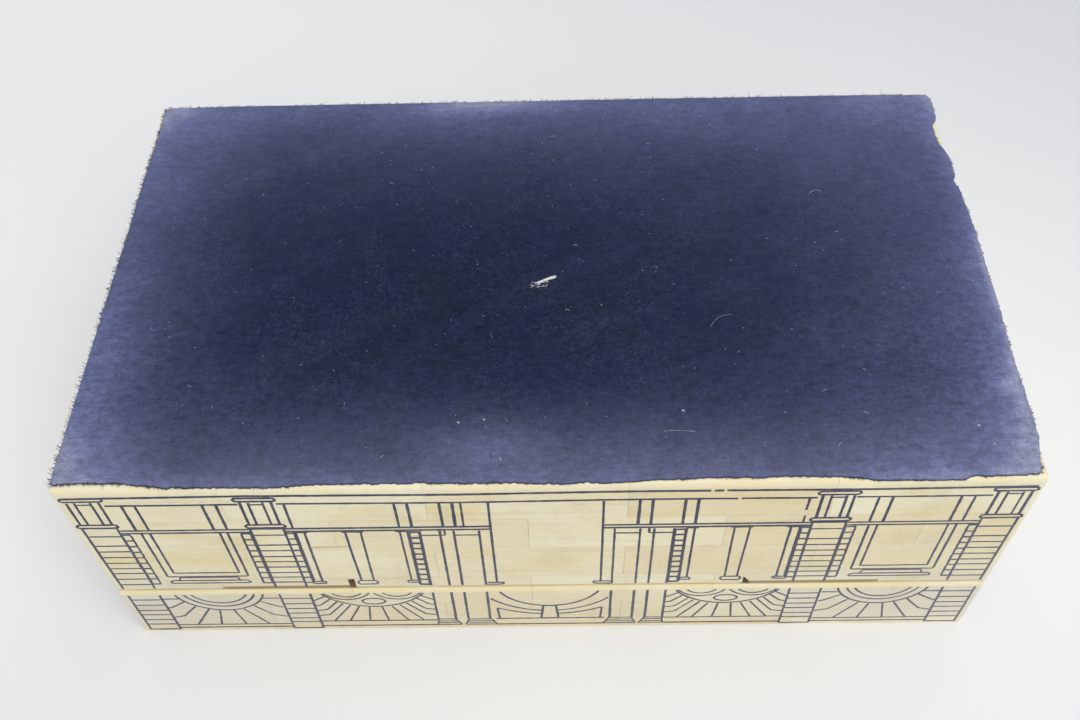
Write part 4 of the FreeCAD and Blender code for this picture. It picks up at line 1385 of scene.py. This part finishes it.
    @staticmethod
    def worn_line(case: Pen, height: float, ends: Sequence[float]) -> None:
        """A long level line with small gaps where it is rubbed through.

        Args:
            case: the case's pen.
            height: its height.
            ends: its two ends, with the gaps between them.
        """
        gap, stride, wave, wave_length = 0.9, 12.0, 0.22, 17.0
        for start, end in zip(ends, ends[1:]):
            first, last = start + gap / 2, end - gap / 2
            steps = max(1, int((last - first) / stride))
            places = (first + (last - first) * n / steps for n in range(steps + 1))
            case.draw([(x, height + wave * math.sin(x / wave_length)) for x in places], 1.3)


@dataclass
class Engraving:
    """The engraved lines on the bone, cut by hand and filled with dark lac."""

    line_width: float = 0.86 * MM
    proud: float = 0.016 * MM
    wobble: float = 0.16 * MM
    step: float = 0.9 * MM
    sides: int = 6
    end_gap: float = 1.05
    lid_start: float = 1.3
    case_stop: float = 83.4
    lid_stop: float = SEAM / MM - 4.0
    case_start: float = SEAM / MM + 0.55
    bevel_start: float = SEAM / MM + 4.1
    tree: NodeTree | None = field(default=None, init=False)

    def line_tree(self) -> NodeTree:
        """Geometry Nodes that lay a filled line along every stroke.

        Returns:
            The tree, with named inputs for its sizes, seed, place and material.
        """
        graph, given, put = new_group(
            "engraved_line", "GeometryNodeTree",
            [("Geometry", "Geometry"),
             *floats("Line Width", "Proud", "Wobble", "Step", "Seed", "Turn", "Depth"),
             ("Material", "Material")],
            [("Geometry", "Geometry")])
        line = graph.node("GeometryNodeMeshToCurve")
        graph.feed(line.inputs["Mesh"], given.outputs["Geometry"])
        sampled = graph.node("GeometryNodeResampleCurve", mode="LENGTH")
        graph.fill(sampled, Curve=line.outputs["Curve"], Length=given.outputs["Step"])
        here = graph.node("GeometryNodeInputPosition").outputs["Position"]
        apart = graph.vector("ADD", here, graph.join(given.outputs["Seed"], 0.0, 0.0))
        swing = graph.node("ShaderNodeTexNoise")
        graph.fill(swing, Vector=apart, Scale=170.0)
        away = graph.vector("SUBTRACT", swing.outputs["Color"], (0.5, 0.5, 0.5))
        away = graph.vector("MULTIPLY", away, (1.0, 0.0, 1.0))
        away = graph.vector("SCALE", away, given.outputs["Wobble"])
        moved = graph.node("GeometryNodeSetPosition")
        graph.fill(moved, Geometry=sampled.outputs["Curve"], Offset=away)
        press = graph.mad(graph.noise(apart, 420.0, 3.0, 0.6), 0.9, 0.5)
        half_width = graph.mul(given.outputs["Line Width"], 0.5)
        half = graph.mul(half_width, graph.mul(graph.attribute("weight"), press))
        tube = graph.tube(moved.outputs["Geometry"], self.sides, half)
        flat = graph.node("GeometryNodeTransform")
        squash = graph.math("DIVIDE", given.outputs["Proud"], half_width)
        graph.fill(flat, Geometry=tube, Scale=graph.join(1.0, squash, 1.0),
                   Translation=graph.join(0.0, graph.mul(given.outputs["Depth"], -1.0), 0.0))
        turned = graph.node("GeometryNodeTransform")
        spin = graph.node("FunctionNodeEulerToRotation")
        graph.feed(spin.inputs["Euler"], graph.join(0.0, 0.0, given.outputs["Turn"]))
        graph.fill(turned, Geometry=flat.outputs["Geometry"], Rotation=spin.outputs["Rotation"])
        shape = turned.outputs["Geometry"]
        graph.feed(put.inputs["Geometry"], graph.dressed(shape, given.outputs["Material"]))
        return graph.tree

    def build(self, lac: Material) -> None:
        """Draw the house front on all four walls of both bodies.

        Args:
            lac: the finish of the lines.
        """
        self.tree = self.line_tree()
        for number, face in enumerate(Face):
            long = face in (Face.FRONT, Face.BACK)
            limit = (HALF_LENGTH if long else HALF_WIDTH) / MM - self.end_gap
            start = self.bevel_start if face is Face.BACK else self.case_start
            lid = Pen(11 + number, self.lid_start, self.lid_stop, limit)
            case = Pen(31 + number, start, self.case_stop, limit)
            HouseFront(wings=long, shift=0.0 if long else (HALF_LENGTH - HALF_WIDTH) / MM).draw(lid, case)
            for body, pen in ((Body.LID, lid), (Body.CASE, case)):
                name = f"{body.value}_{face.name.lower()}_engraving"
                piece = run_nodes(pen.mesh(name), self.tree, name, Line_Width=self.line_width,
                                  Proud=self.proud, Wobble=self.wobble, Step=self.step,
                                  Seed=3.0 * number + len(body.value),
                                  Turn=face.value, Depth=HALF_WIDTH if long else HALF_LENGTH, Material=lac)
                finish_piece(piece, body, "bone")


@dataclass
class Fuzz:
    """Loose fibres: one bent thread, set on many points."""

    thread: float = 0.05 * MM
    sides: int = 3
    tree: NodeTree | None = field(default=None, init=False)

    def fibre_tree(self) -> NodeTree:
        """Geometry Nodes that set a bent thread on every point.

        Returns:
            The tree, with named inputs for thread size, seed and material.
        """
        graph, given, put = new_group(
            "loose_fibres", "GeometryNodeTree",
            [("Geometry", "Geometry"), ("Thread", "Float"), ("Seed", "Int"), *floats("Tilt", "Bend"),
             ("Material", "Material")],
            [("Geometry", "Geometry")])
        bend = graph.node("GeometryNodeCurveQuadraticBezier")
        bow = given.outputs["Bend"]
        middle = graph.join(0.55, bow, graph.mul(bow, 0.57))
        graph.fill(bend, Resolution=4, Start=(0.0, 0.0, 0.0), Middle=middle, End=(1.0, -0.05, 0.02))
        points = graph.node("GeometryNodeMeshToPoints")
        graph.feed(points.inputs["Mesh"], given.outputs["Geometry"])
        roll = graph.node("FunctionNodeRandomValue", data_type="FLOAT")
        roll.inputs[2].default_value = -1.0
        roll.inputs[3].default_value = 1.0
        graph.feed(roll.inputs["Seed"], given.outputs["Seed"])
        tilt = graph.mul(roll.outputs[1], given.outputs["Tilt"])
        spin = graph.node("FunctionNodeEulerToRotation")
        graph.feed(spin.inputs["Euler"], graph.join(graph.mul(tilt, 2.0), tilt, graph.attribute("aim")))
        placed = graph.node("GeometryNodeInstanceOnPoints")
        graph.fill(placed, Points=points.outputs["Points"], Instance=bend.outputs["Curve"],
                   Rotation=spin.outputs["Rotation"], Scale=graph.attribute("reach"))
        loose = graph.node("GeometryNodeRealizeInstances")
        graph.feed(loose.inputs["Geometry"], placed.outputs["Instances"])
        tube = graph.tube(loose.outputs["Geometry"], self.sides, given.outputs["Thread"])
        graph.feed(put.inputs["Geometry"], graph.dressed(tube, given.outputs["Material"]))
        return graph.tree

    def grow(self, name: str, roots: Sequence[Root], material: Material, seed: int,
             tilt: float, thread: float | None = None, bend: float = 0.28) -> bpy.types.Object:
        """Set fibres on points.

        Args:
            name: the piece's name.
            roots: each fibre's foot, length in metres and direction about the upright axis.
            material: their finish.
            seed: for their lean.
            tilt: the most they lean, in radians.
            thread: half the thread's thickness, if not the usual.
            bend: how far they bow, as a share of their length.

        Returns:
            The plain piece.
        """
        if self.tree is None:
            self.tree = self.fibre_tree()
        mesh = bpy.data.meshes.new(name)
        mesh.from_pydata([tuple(foot) for foot, _, _ in roots], [], [])
        point_values(mesh, "reach", [reach for _, reach, _ in roots])
        point_values(mesh, "aim", [aim for _, _, aim in roots])
        return run_nodes(mesh, self.tree, name, Thread=thread or self.thread, Seed=seed, Tilt=tilt, Bend=bend,
                         Material=material)


@dataclass
class FeltSheet:
    """A felt sheet cut to a rectangle, with soft rounded edges."""

    name: str
    node: str
    body: Body
    slot: str
    rests_on: str
    upward: bool
    corner: float = 1.6 * MM
    spacing: float = 0.8 * MM
    ragged: float = 0.12 * MM
    round_over: float = 0.0
    most_drop: float = 0.8 * MM
    flat_rings: tuple[float, float] = (4.4 * MM, 5.4 * MM)
    corner_steps: int = 6
    profile: tuple[Point, ...] = ((0.30, 0.0), (0.05, 0.15), (0.0, 0.5), (0.1, 0.8), (0.35, 0.97), (0.9, 1.0))
    # Each profile ring's share of the painted shade along the cut edge.
    edge_shades: tuple[float, ...] = (1.0, 1.0, 1.0, 0.65, 0.1, 0.0)

    def size(self) -> tuple[Vector, Vector]:
        """Lowest and highest corner of the CAD sheet that it stands for."""
        low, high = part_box(self.node)
        return Vector(low), Vector(high)

    def inset(self, x: float, y: float, outward: Vector) -> float:
        """How far the cut strays inwards at a point of the edge.

        Args:
            x: place along the length.
            y: place along the width.
            outward: the edge's outward direction there.

        Returns:
            The inset in metres, below zero where the felt stands out.
        """
        spot = Vector((x, y, 0.0))
        wide = noise.noise(spot / (16 * MM) + Vector((3.1, 0.7, 0.0)))
        fine = noise.noise(spot / (3.4 * MM) + Vector((9.4, 5.2, 0.0)))
        hair = noise.noise(spot / (1.1 * MM) + Vector((1.7, 8.8, 0.0)))
        return self.ragged * (0.9 * wide + 0.6 * fine + 0.8 * hair)

    def outline(self) -> Edge:
        """The cut's edge as points with their outward directions, anticlockwise from above.

        Returns:
            The points, near each other.
        """
        low, high = self.size()
        middle = (low + high) / 2
        half = Vector((high.x - low.x, high.y - low.y)) / 2
        r = self.corner
        track: Edge = []
        sides = ((Vector((1, 0)), Vector((0, 1))), (Vector((0, 1)), Vector((-1, 0))),
                 (Vector((-1, 0)), Vector((0, -1))), (Vector((0, -1)), Vector((1, 0))))
        for out, way in sides:
            deep = abs(out.x) * half.x + abs(out.y) * half.y
            long = abs(way.x) * half.x + abs(way.y) * half.y - r
            count = int(2 * long / self.spacing)
            for n in range(count):
                track.append((out * deep + way * (-long + 2 * long * n / count), out))
            for n in range(self.corner_steps):
                turn = math.pi / 2 * n / self.corner_steps
                ray = out * math.cos(turn) + way * math.sin(turn)
                track.append((out * (deep - r) + way * long + ray * r, ray))
        edge = []
        for place, out in track:
            away = self.inset(place.x, place.y, out)
            edge.append((Vector((middle.x + place.x - out.x * away, middle.y + place.y - out.y * away)), out))
        return edge

    def drop(self, place: Vector, low: Vector, high: Vector) -> float:
        """How far the felt sinks where the edge below it is rounded.

        Args:
            place: a point of the sheet.
            low: lowest corner of the CAD sheet.
            high: highest corner of it.

        Returns:
            The drop in metres.
        """
        if self.round_over <= 0.0:
            return 0.0
        edge = HALF_LENGTH - high.x
        gap = min(place.x - low.x, high.x - place.x, place.y - low.y, high.y - place.y) + edge
        if gap >= self.round_over:
            return 0.0
        reach = self.round_over - max(0.0, gap)
        return min(self.most_drop, self.round_over - math.sqrt(max(0.0, self.round_over ** 2 - reach ** 2)))

    def build(self, felt: Material) -> bpy.types.Object:
        """Make the sheet, closed all round, and let it stand for the CAD sheet.

        Args:
            felt: its finish.

        Returns:
            The piece.
        """
        low, high = self.size()
        thick = high.z - low.z
        edge = self.outline()
        shape = bmesh.new()
        edge_shade = shape.verts.layers.float.new("edge_shade")
        rings: list[list[bmesh.types.BMVert]] = []
        for inward, level in self.profile:
            rings.append(self.ring(shape, edge, inward * thick, low, high, level))
        rings += [self.ring(shape, edge, inward, low, high, 1.0) for inward in self.flat_rings]
        # Carry each ring's share of the painted edge shade.
        for ring, value in zip(rings, self.edge_shades):
            for vertex in ring:
                vertex[edge_shade] = value
        for first, second in zip(rings, rings[1:]):
            for n in range(len(first)):
                m = (n + 1) % len(first)
                shape.faces.new((first[n], first[m], second[m], second[n]))
        for ring in (rings[-1], rings[0][::-1]):
            heart = shape.verts.new(sum((vertex.co for vertex in ring), Vector()) / len(ring))
            for n, vertex in enumerate(ring):
                shape.faces.new((vertex, ring[(n + 1) % len(ring)], heart))
        bmesh.ops.recalc_face_normals(shape, faces=shape.faces)
        for f in shape.faces:
            f.smooth = True
        piece = mesh_piece(self.name, shape, felt)
        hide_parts(self.node)
        return piece

    def ring(self, shape: bmesh.types.BMesh, edge: Edge, inward: float, low: Vector, high: Vector,
             level: float) -> list[bmesh.types.BMVert]:
        """One ring of the sheet: its edge drawn in towards its middle.

        Args:
            shape: the mesh in the making.
            edge: the cut's edge.
            inward: how far in from the edge.
            low: lowest corner of the CAD sheet.
            high: highest corner of it.
            level: height as a share of the thickness, from the glued side.

        Returns:
            The ring's vertices.
        """
        made = []
        middle = (low + high) / 2
        small = [1.0 - 2 * inward / (high[n] - low[n]) for n in range(2)]
        for place, _ in edge:
            spot = Vector((middle.x + (place.x - middle.x) * small[0],
                           middle.y + (place.y - middle.y) * small[1], 0.0))
            sink = self.drop(spot, low, high)
            height = (high.z - low.z) * level
            z = low.z + height - sink if self.upward else high.z - height
            made.append(shape.verts.new((spot.x, spot.y, z)))
        return made


def anywhere(chance: random.Random, low: Vector, high: Vector, share: Point, lift: float = 0.0) -> Vector:
    """A random place on the upper face of a sheet."""
    return Vector((chance.uniform(low.x, high.x) * share[0], chance.uniform(low.y, high.y) * share[1],
                   high.z + lift))


@dataclass
class BaseFelt(FeltSheet):
    """The worn felt under the base, uppermost as the box lies, with its ragged front and loose fibres."""

    front_ragged: float = 0.32 * MM
    fray_count: int = 1700
    lint_count: int = 60
    mote_count: int = 170
    nap_count: int = 900
    front_line: tuple[Point, ...] = (
        (-124.0, 1.0), (-110.0, 1.25), (-104.0, 0.6), (-97.0, 0.1), (-78.0, -0.15), (-59.0, 0.44),
        (-33.0, 0.45), (-14.0, 0.17), (5.0, -0.05), (18.0, -0.05), (31.0, 0.7), (44.0, 1.0),
        (57.0, 0.77), (76.0, 0.5), (88.0, -0.1), (101.0, -0.4), (105.0, -0.35), (109.5, 0.6),
        (121.0, 0.4), (126.0, 0.5))
    crumb_spots: tuple[Point, ...] = ((-16.4, -55.0), (-23.2, -55.8), (-11.9, -67.3), (36.3, -53.0),
                                      (112.8, -59.0), (115.5, -64.8))
    right_bites: tuple[tuple[float, float, float, int], ...] = (
        (-0.8, 1.0, 28.0, 2), (1.1, 33.0, 2.0, 2), (2.6, 54.0, 7.0, 4))

    def front_cut(self, x: float) -> float:
        """How far back the front edge was cut at a place along it.

        Args:
            x: place along the length.

        Returns:
            The inset in metres, without the small raggedness.
        """
        for (x0, first), (x1, second) in zip(self.front_line, self.front_line[1:]):
            if x <= x1 * MM:
                share = max(0.0, (x / MM - x0) / (x1 - x0))
                return (first + (second - first) * share * share * (3.0 - 2.0 * share)) * MM
        return self.front_line[-1][1] * MM

    def inset(self, x: float, y: float, outward: Vector) -> float:
        """How far the cut strays inwards, most along the front.

        Args:
            x: place along the length.
            y: place along the width.
            outward: the edge's outward direction there.

        Returns:
            The inset in metres.
        """
        away = super().inset(x, y, outward)
        spot = Vector((x, y, 0.0))
        front, right, back, left = (max(0.0, min(1.0, (share - 0.1) / 0.8))
                                    for share in (-outward.y, outward.x, outward.y, -outward.x))
        step = noise.noise(spot / (21 * MM) + Vector((5.0, 2.0, 0.0)))
        bite = noise.noise(spot / (4.6 * MM) + Vector((0.4, 7.0, 0.0)))
        forward = self.front_ragged * step + self.front_cut(x) + 0.45 * MM * max(0.0, bite - 0.25)
        away += front * max(-0.5 * MM, forward)
        sideways = 2.0 * MM * max(0.0, min(1.0, (-62 * MM - y) / (8 * MM))) - 0.6 * MM
        for deep, middle, wide, power in self.right_bites:
            sideways += deep * MM * math.exp(-((y - middle * MM) / (wide * MM)) ** power)
        away += right * sideways
        away += back * (1.5 * MM * (abs(x) / HALF_LENGTH) ** 4 - 0.4 * MM)
        away += left * (0.55 * MM + 0.010 * y)
        return away

    def frayed(self, fuzz: Fuzz, thread: Material, chance: random.Random) -> list[bpy.types.Object]:
        """Tufts and single hairs that fray from the edge.

        Args:
            fuzz: the maker of fibres.
            thread: finish of the threads.
            chance: where the random numbers come from.

        Returns:
            The tufts and the hairs.
        """
        low, high = self.size()
        edge = self.outline()
        tufts: list[Root] = []
        hairs: list[Root] = []
        while len(tufts) < self.fray_count:
            place, out = chance.choice(edge)
            crowd = 1.5 if out.x < -0.5 else 1.0 if out.y > 0.5 else 0.5
            if out.y < -0.5 and place.x < -100 * MM:
                crowd = 0.9
            if noise.noise(Vector((place.x, place.y, 0.0)) / (7 * MM)) < 0.2 - 0.6 * crowd:
                continue
            sink = self.drop(Vector((place.x, place.y, 0.0)), low, high)
            foot = Vector((place.x - out.x * 0.45 * MM, place.y - out.y * 0.45 * MM,
                           high.z - sink - chance.uniform(0.1, 0.7) * MM))
            aim = math.atan2(out.y, out.x)
            if chance.random() < 0.06:
                hairs.append((foot, chance.uniform(1.4, 3.0) * MM * min(crowd, 1.0),
                              aim + chance.uniform(-1.2, 1.2)))
            tufts.append((foot, chance.uniform(0.7, 1.35) * MM * (0.55 + 0.45 * crowd),
                          aim + chance.uniform(-0.8, 0.8)))
        return [fuzz.grow("felt_frayed_tufts", tufts, thread, 5, 0.35, 0.07 * MM),
                fuzz.grow("felt_frayed_hairs", hairs, thread, 6, 0.4, 0.028 * MM)]

    def litter(self, fuzz: Fuzz, lint: Material, chance: random.Random) -> list[bpy.types.Object]:
        """Lint, hairs, motes and crumbs that lie on the nap.

        Args:
            fuzz: the maker of fibres.
            lint: finish of the lint.
            chance: where the random numbers come from.

        Returns:
            The pieces, the lint first.
        """
        low, high = self.size()
        top = high.z + 0.02 * MM
        dropped = [(Vector((81.3 * MM, 27.2 * MM, top)), 4.2 * MM, 0.4),
                   (Vector((46.5 * MM, -24.6 * MM, top)), 7.0 * MM, 0.55)]
        straight = [(Vector((31.1 * MM, -59.6 * MM, top)), 8.1 * MM, 0.0)]
        hook = [(Vector((-20.0 * MM, -49.4 * MM, top)), 6.7 * MM, -1.3)]
        hairs_on_nap = [fuzz.grow("felt_straight_hairs", straight, lint, 8, 0.01, 0.035 * MM, 0.03),
                        fuzz.grow("felt_hooked_hair", hook, lint, 10, 0.01, 0.05 * MM, -1.0)]
        for _ in range(self.lint_count):
            spot = anywhere(chance, low, high, (0.985, 0.975), 0.01 * MM)
            dropped.append((spot, chance.uniform(0.35, 1.5) * MM, chance.uniform(0.0, math.tau)))
        loose = fuzz.grow("felt_lint", dropped, lint, 9, 0.12, 0.045 * MM)
        crumbs = [(Vector((x * MM, y * MM, high.z)), 0.75 * MM, -0.6) for x, y in self.crumb_spots]
        motes = [(anywhere(chance, low, high, (0.97, 0.95)), chance.uniform(0.22, 0.5) * MM,
                  chance.uniform(0.0, math.tau)) for _ in range(self.mote_count)]
        dusty = [fuzz.grow("felt_motes", motes, lint, 21, 0.1, 0.065 * MM),
                 fuzz.grow("felt_crumbs", crumbs, lint, 22, 0.05, 0.2 * MM)]
        return [loose, *dusty, *hairs_on_nap]

    def raised(self, fuzz: Fuzz, nap: Material, chance: random.Random) -> bpy.types.Object:
        """Short ends that stand out of the nap.

        Args:
            fuzz: the maker of fibres.
            nap: finish of the short ends.
            chance: where the random numbers come from.

        Returns:
            The piece.
        """
        low, high = self.size()
        ends = []
        for _ in range(self.nap_count):
            spot = anywhere(chance, low, high, (0.98, 0.965))
            ends.append((spot, chance.uniform(0.4, 1.3) * MM, chance.gauss(0.0, 0.9)))
        return fuzz.grow("felt_nap_ends", ends, nap, 17, 0.1, 0.03 * MM)

    def fleck(self, fuzz: Fuzz, white: Material, chance: random.Random) -> bpy.types.Object:
        """The white fleck of torn fibres.

        Args:
            fuzz: the maker of fibres.
            white: finish of the fleck.
            chance: where the random numbers come from.

        Returns:
            The piece.
        """
        top = self.size()[1].z
        sliver = []
        slant = math.atan2(3.1, 6.2)
        for _ in range(34):
            back = chance.uniform(0.0, 0.5)
            foot = Vector(((-2.6 + 6.2 * back) * MM, (-7.7 + 3.1 * back + chance.uniform(-0.42, 0.42)) * MM,
                           top + 0.01 * MM))
            sliver.append((foot, chance.uniform(0.6, 1.0) * (1.0 - back) * 6.9 * MM,
                           slant + chance.uniform(-0.04, 0.04)))
        for _ in range(30):
            foot = Vector((chance.uniform(-4.2, 1.0) * MM, chance.uniform(-9.2, -6.8) * MM, top))
            sliver.append((foot, chance.uniform(0.3, 0.9) * MM, slant + chance.uniform(-0.8, 0.8)))
        return fuzz.grow("felt_white_fleck", sliver, white, 13, 0.02, 0.043 * MM, 0.04)

    def fibres(self, fuzz: Fuzz, thread: Material, lint: Material, white: Material,
               nap: Material) -> list[bpy.types.Object]:
        """Threads that fray from the edge, and the lint that lies on the nap.

        Args:
            fuzz: the maker of fibres.
            thread: finish of the frayed threads.
            lint: finish of the lint.
            white: finish of the white fleck.
            nap: finish of the short ends that stand out of the nap.

        Returns:
            The pieces.
        """
        chance = random.Random(71)
        frayed = self.frayed(fuzz, thread, chance)
        loose, *others = self.litter(fuzz, lint, chance)
        raised = self.raised(fuzz, nap, chance)
        torn = self.fleck(fuzz, white, chance)
        return [*frayed, loose, raised, torn, *others]


@dataclass
class BoneSkin:
    """The bone slips of the lid and the case, as the CAD lays them."""

    slips: Slips = field(default_factory=Slips)
    finish: BoneFinish = field(default_factory=BoneFinish)

    def dress(self, groups: Groups) -> None:
        """Give every wall its finish.

        Args:
            groups: the shared shader groups.
        """
        sides = ((Run.ALONG_X, ("front", "back")), (Run.ALONG_Y, ("left", "right")))
        for run, names in sides:
            for number, side in enumerate(names):
                bone = self.finish.material(f"bone_{side}", run, self.slips, groups,
                                            2.0 * number + run.value * 7.0, chips=side == "front")
                for body in Body:
                    dress_node(f"{body.value}_{side}_bone", bone)
        dress_node("lid_top_bone", self.finish.material("bone_lid_top", Run.FLAT, self.slips, groups, 5.0))


def dress_node(name: str, material: Material) -> None:
    """Give a CAD node a material.

    Args:
        name: the node.
        material: its finish.
    """
    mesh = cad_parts[name].data
    mesh.materials.clear()
    mesh.materials.append(material)
    log.info("%s: dressed in %s", name, material.name)


@dataclass
class Carcass:
    """The lapped wooden frame of the lid and the lapped boards of the case."""

    finish: WoodFinish = field(default_factory=WoodFinish)

    def dress(self, groups: Groups) -> None:
        """Give every board its grain.

        Args:
            groups: the shared shader groups.
        """
        along_x, along_y = (self.finish.material(run, groups) for run in (Run.ALONG_X, Run.ALONG_Y))
        for part, word in (("lid", "rail"), ("case", "board")):
            for side in ("front", "back"):
                dress_node(f"{part}_{side}_{word}", along_x)
            for side in ("left", "right"):
                dress_node(f"{part}_{side}_{word}", along_y)
        dress_node("lid_panel", along_x)
        dress_node("case_base_panel", along_x)


@dataclass
class Hinges:
    """The two concealed butt hinges with their pins and screws."""

    finish: BrassFinish = field(default_factory=BrassFinish)

    def dress(self, groups: Groups) -> None:
        """Give leaves, pins and screws their finish.

        Args:
            groups: the shared shader groups.
        """
        brass = self.finish.material(groups)
        for side in ("left", "right"):
            for part in ("lid_leaf", "case_leaf", "pin"):
                dress_node(f"hinge_{side}_{part}", brass)
        for body in Body:
            dress_node(f"{body.value}_leaf_screws", brass)


@dataclass
class Felts:
    """The base felt and the two linings."""

    base: BaseFelt = field(default_factory=lambda: BaseFelt(
        "base_felt_sheet", "base_felt", Body.CASE, "base_felt", "case_base_panel", True, 2.4 * MM, 0.42 * MM,
        0.3 * MM, 1.8 * MM))
    linings: tuple[FeltSheet, ...] = field(default_factory=lambda: (
        FeltSheet("case_lining_sheet", "case_lining", Body.CASE, "lining_felt", "case_base_panel", False),
        FeltSheet("lid_lining_sheet", "lid_lining", Body.LID, "lining_felt", "lid_panel", True)))
    base_finish: FeltFinish = FeltFinish(
        "base_felt_nap", "base_felt", (0.0038, 0.0066, 0.0320, 1.0), (0.0052, 0.0080, 0.0270, 1.0),
        (0.208, 0.232, 0.450, 1.0),
        patches=(Patch(-20 * MM, 73 * MM, 24 * MM, 5 * MM, 0.45),
                 Patch(-14 * MM, -64 * MM, 14 * MM, 7 * MM, 0.17),
                 Patch(-95 * MM, -69 * MM, 16 * MM, 9 * MM, -0.12),
                 Patch(123 * MM, -46.6 * MM, 5 * MM, 4 * MM, 0.2),
                 Patch(99 * MM, -74 * MM, 11 * MM, 1.8 * MM, 0.16)))
    lining_finish: FeltFinish = FeltFinish(
        "lining_felt_nap", "case_lining", (0.033, 0.037, 0.092, 1.0), (0.036, 0.040, 0.080, 1.0),
        (0.11, 0.115, 0.22, 1.0),
        left_wear_and_sheen=(8.0 * MM, 0.3), right_wear_and_sheen=(8.0 * MM, 0.3), back_wear_and_sheen=(8.0 * MM, 0.3),
        front_wear_and_sheen=(8.0 * MM, 0.3), right_rim=(3.0 * MM, 0.1), corners=(0.0, 0.0, 0.0), greyed=0.0)
    nap_finish: FibreFinish = FibreFinish(
        "felt_nap_end", (0.055, 0.062, 0.135, 1.0), (0.115, 0.125, 0.24, 1.0))
    thread_finish: FibreFinish = FibreFinish(
        "felt_thread", (0.016, 0.018, 0.040, 1.0), (0.085, 0.09, 0.15, 1.0))
    fleck_finish: FibreFinish = FibreFinish("white_fleck", (0.80, 0.80, 0.84, 1.0), (0.92, 0.92, 0.94, 1.0))
    lint_finish: FibreFinish = FibreFinish("lint", (0.36, 0.36, 0.42, 1.0), (0.72, 0.72, 0.74, 1.0))

    def build(self, groups: Groups) -> None:
        """Lay the sheets and their loose fibres.

        Args:
            groups: the shared shader groups.
        """
        piece = self.base.build(self.base_finish.material(groups))
        extras = self.base.fibres(Fuzz(), self.thread_finish.material(), self.lint_finish.material(),
                                  self.fleck_finish.material(), self.nap_finish.material())
        for made in (piece, *extras):
            finish_piece(made, self.base.body, self.base.slot)
        self.declare(piece, self.base, extras)
        felt = self.lining_finish.material(groups)
        for lining in self.linings:
            piece = lining.build(felt)
            finish_piece(piece, lining.body, lining.slot)
            self.declare(piece, lining, [])

    @staticmethod
    def declare(piece: bpy.types.Object, sheet: FeltSheet, extras: list[bpy.types.Object]) -> None:
        """Read a sheet's size and list the pieces that lie on it, keeping nothing.

        Args:
            piece: the sheet's piece; not used.
            sheet: its sizes.
            extras: pieces that lie on it.
        """
        low, high = sheet.size()
        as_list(extras)


@dataclass
class Studio:
    """Pale floor, soft light and the camera."""

    eye: Spot = (4.01 * MM, -226.28 * MM, 333.88 * MM)
    turn: Spot = (37.628, 1.279, -0.073)
    lens: float = 37.884
    floor: FloorFinish = field(default_factory=FloorFinish)

    def build(self) -> None:
        """Set floor, lights, world and camera."""
        self.lay_floor()
        self.light("window", (0.46, -1.02, 1.15), (0.0, 0.0, 0.03), 1.5, 14.9, (1.0, 0.985, 0.96))
        self.light("ceiling", (0.26, 0.2, 1.5), (0.0, 0.0, 0.03), 1.8, 7.4, (0.965, 0.985, 1.0))
        world = bpy.data.worlds.new("soft_room")
        world.use_nodes = True
        world.node_tree.nodes["Background"].inputs["Color"].default_value = (0.96, 0.98, 1.0, 1.0)
        world.node_tree.nodes["Background"].inputs["Strength"].default_value = 0.42
        bpy.context.scene.world = world
        bpy.context.scene.view_settings.view_transform = "Standard"
        self.camera()

    def lay_floor(self) -> None:
        """A wide round sheet of paper that curves up all round, so that no edge of it shows."""
        shape = bmesh.new()
        count = 64
        turns = [math.tau * n / count for n in range(count)]
        rings = ((0.6, 0.0), (1.6, 0.0), (2.2, 0.04), (2.7, 0.18), (3.1, 0.5), (3.35, 1.0), (3.45, 1.6))
        circles = [[shape.verts.new((r * math.cos(a), r * math.sin(a), z)) for a in turns] for r, z in rings]
        shape.faces.new(circles[0])
        for inner, outer in zip(circles, circles[1:]):
            for n in range(count):
                m = (n + 1) % count
                shape.faces.new((inner[n], outer[n], outer[m], inner[m])).smooth = True
        piece = mesh_piece("paper_floor", shape, self.floor.material())

    @staticmethod
    def light(name: str, place: Spot, target: Spot, size: float, power: float, colour: Spot) -> None:
        """A large soft lamp.

        Args:
            name: its name.
            place: where it hangs.
            target: what it points at.
            size: its side in metres.
            power: its power in watts.
            colour: its colour.
        """
        lamp = bpy.data.lights.new(name, "AREA")
        lamp.size = size
        lamp.energy = power
        lamp.color = colour
        hung = bpy.data.objects.new(name, lamp)
        hung.location = place
        hung.rotation_euler = (Vector(target) - Vector(place)).to_track_quat("-Z", "Y").to_euler()
        bpy.context.scene.collection.objects.link(hung)

    def camera(self) -> None:
        """The camera, where the photograph was taken from."""
        seen = bpy.data.cameras.new("camera")
        seen.lens = self.lens
        seen.sensor_fit = "HORIZONTAL"
        seen.sensor_width = 36.0
        seen.clip_start = 0.01
        stand = bpy.data.objects.new("camera", seen)
        stand.location = self.eye
        stand.rotation_euler = Euler([math.radians(angle) for angle in self.turn], "XYZ")
        bpy.context.scene.collection.objects.link(stand)
        bpy.context.scene.camera = stand


def main() -> None:
    """Dress the box piece by piece and set it in the studio."""
    logging.basicConfig(level=logging.INFO, format="%(name)s %(message)s")
    slips = Slips()
    groups = {"soiling": soiling_group(), "slips": slips.group(), "nap": FeltFinish.nap_group(),
              "grain": WoodFinish.grain_group()}
    BoneSkin(slips).dress(groups)
    Carcass().dress(groups)
    Hinges().dress(groups)
    Engraving().build(LacFinish().material(groups))
    Felts().build(groups)
    Studio().build()


if __name__ == "__main__":
    main()
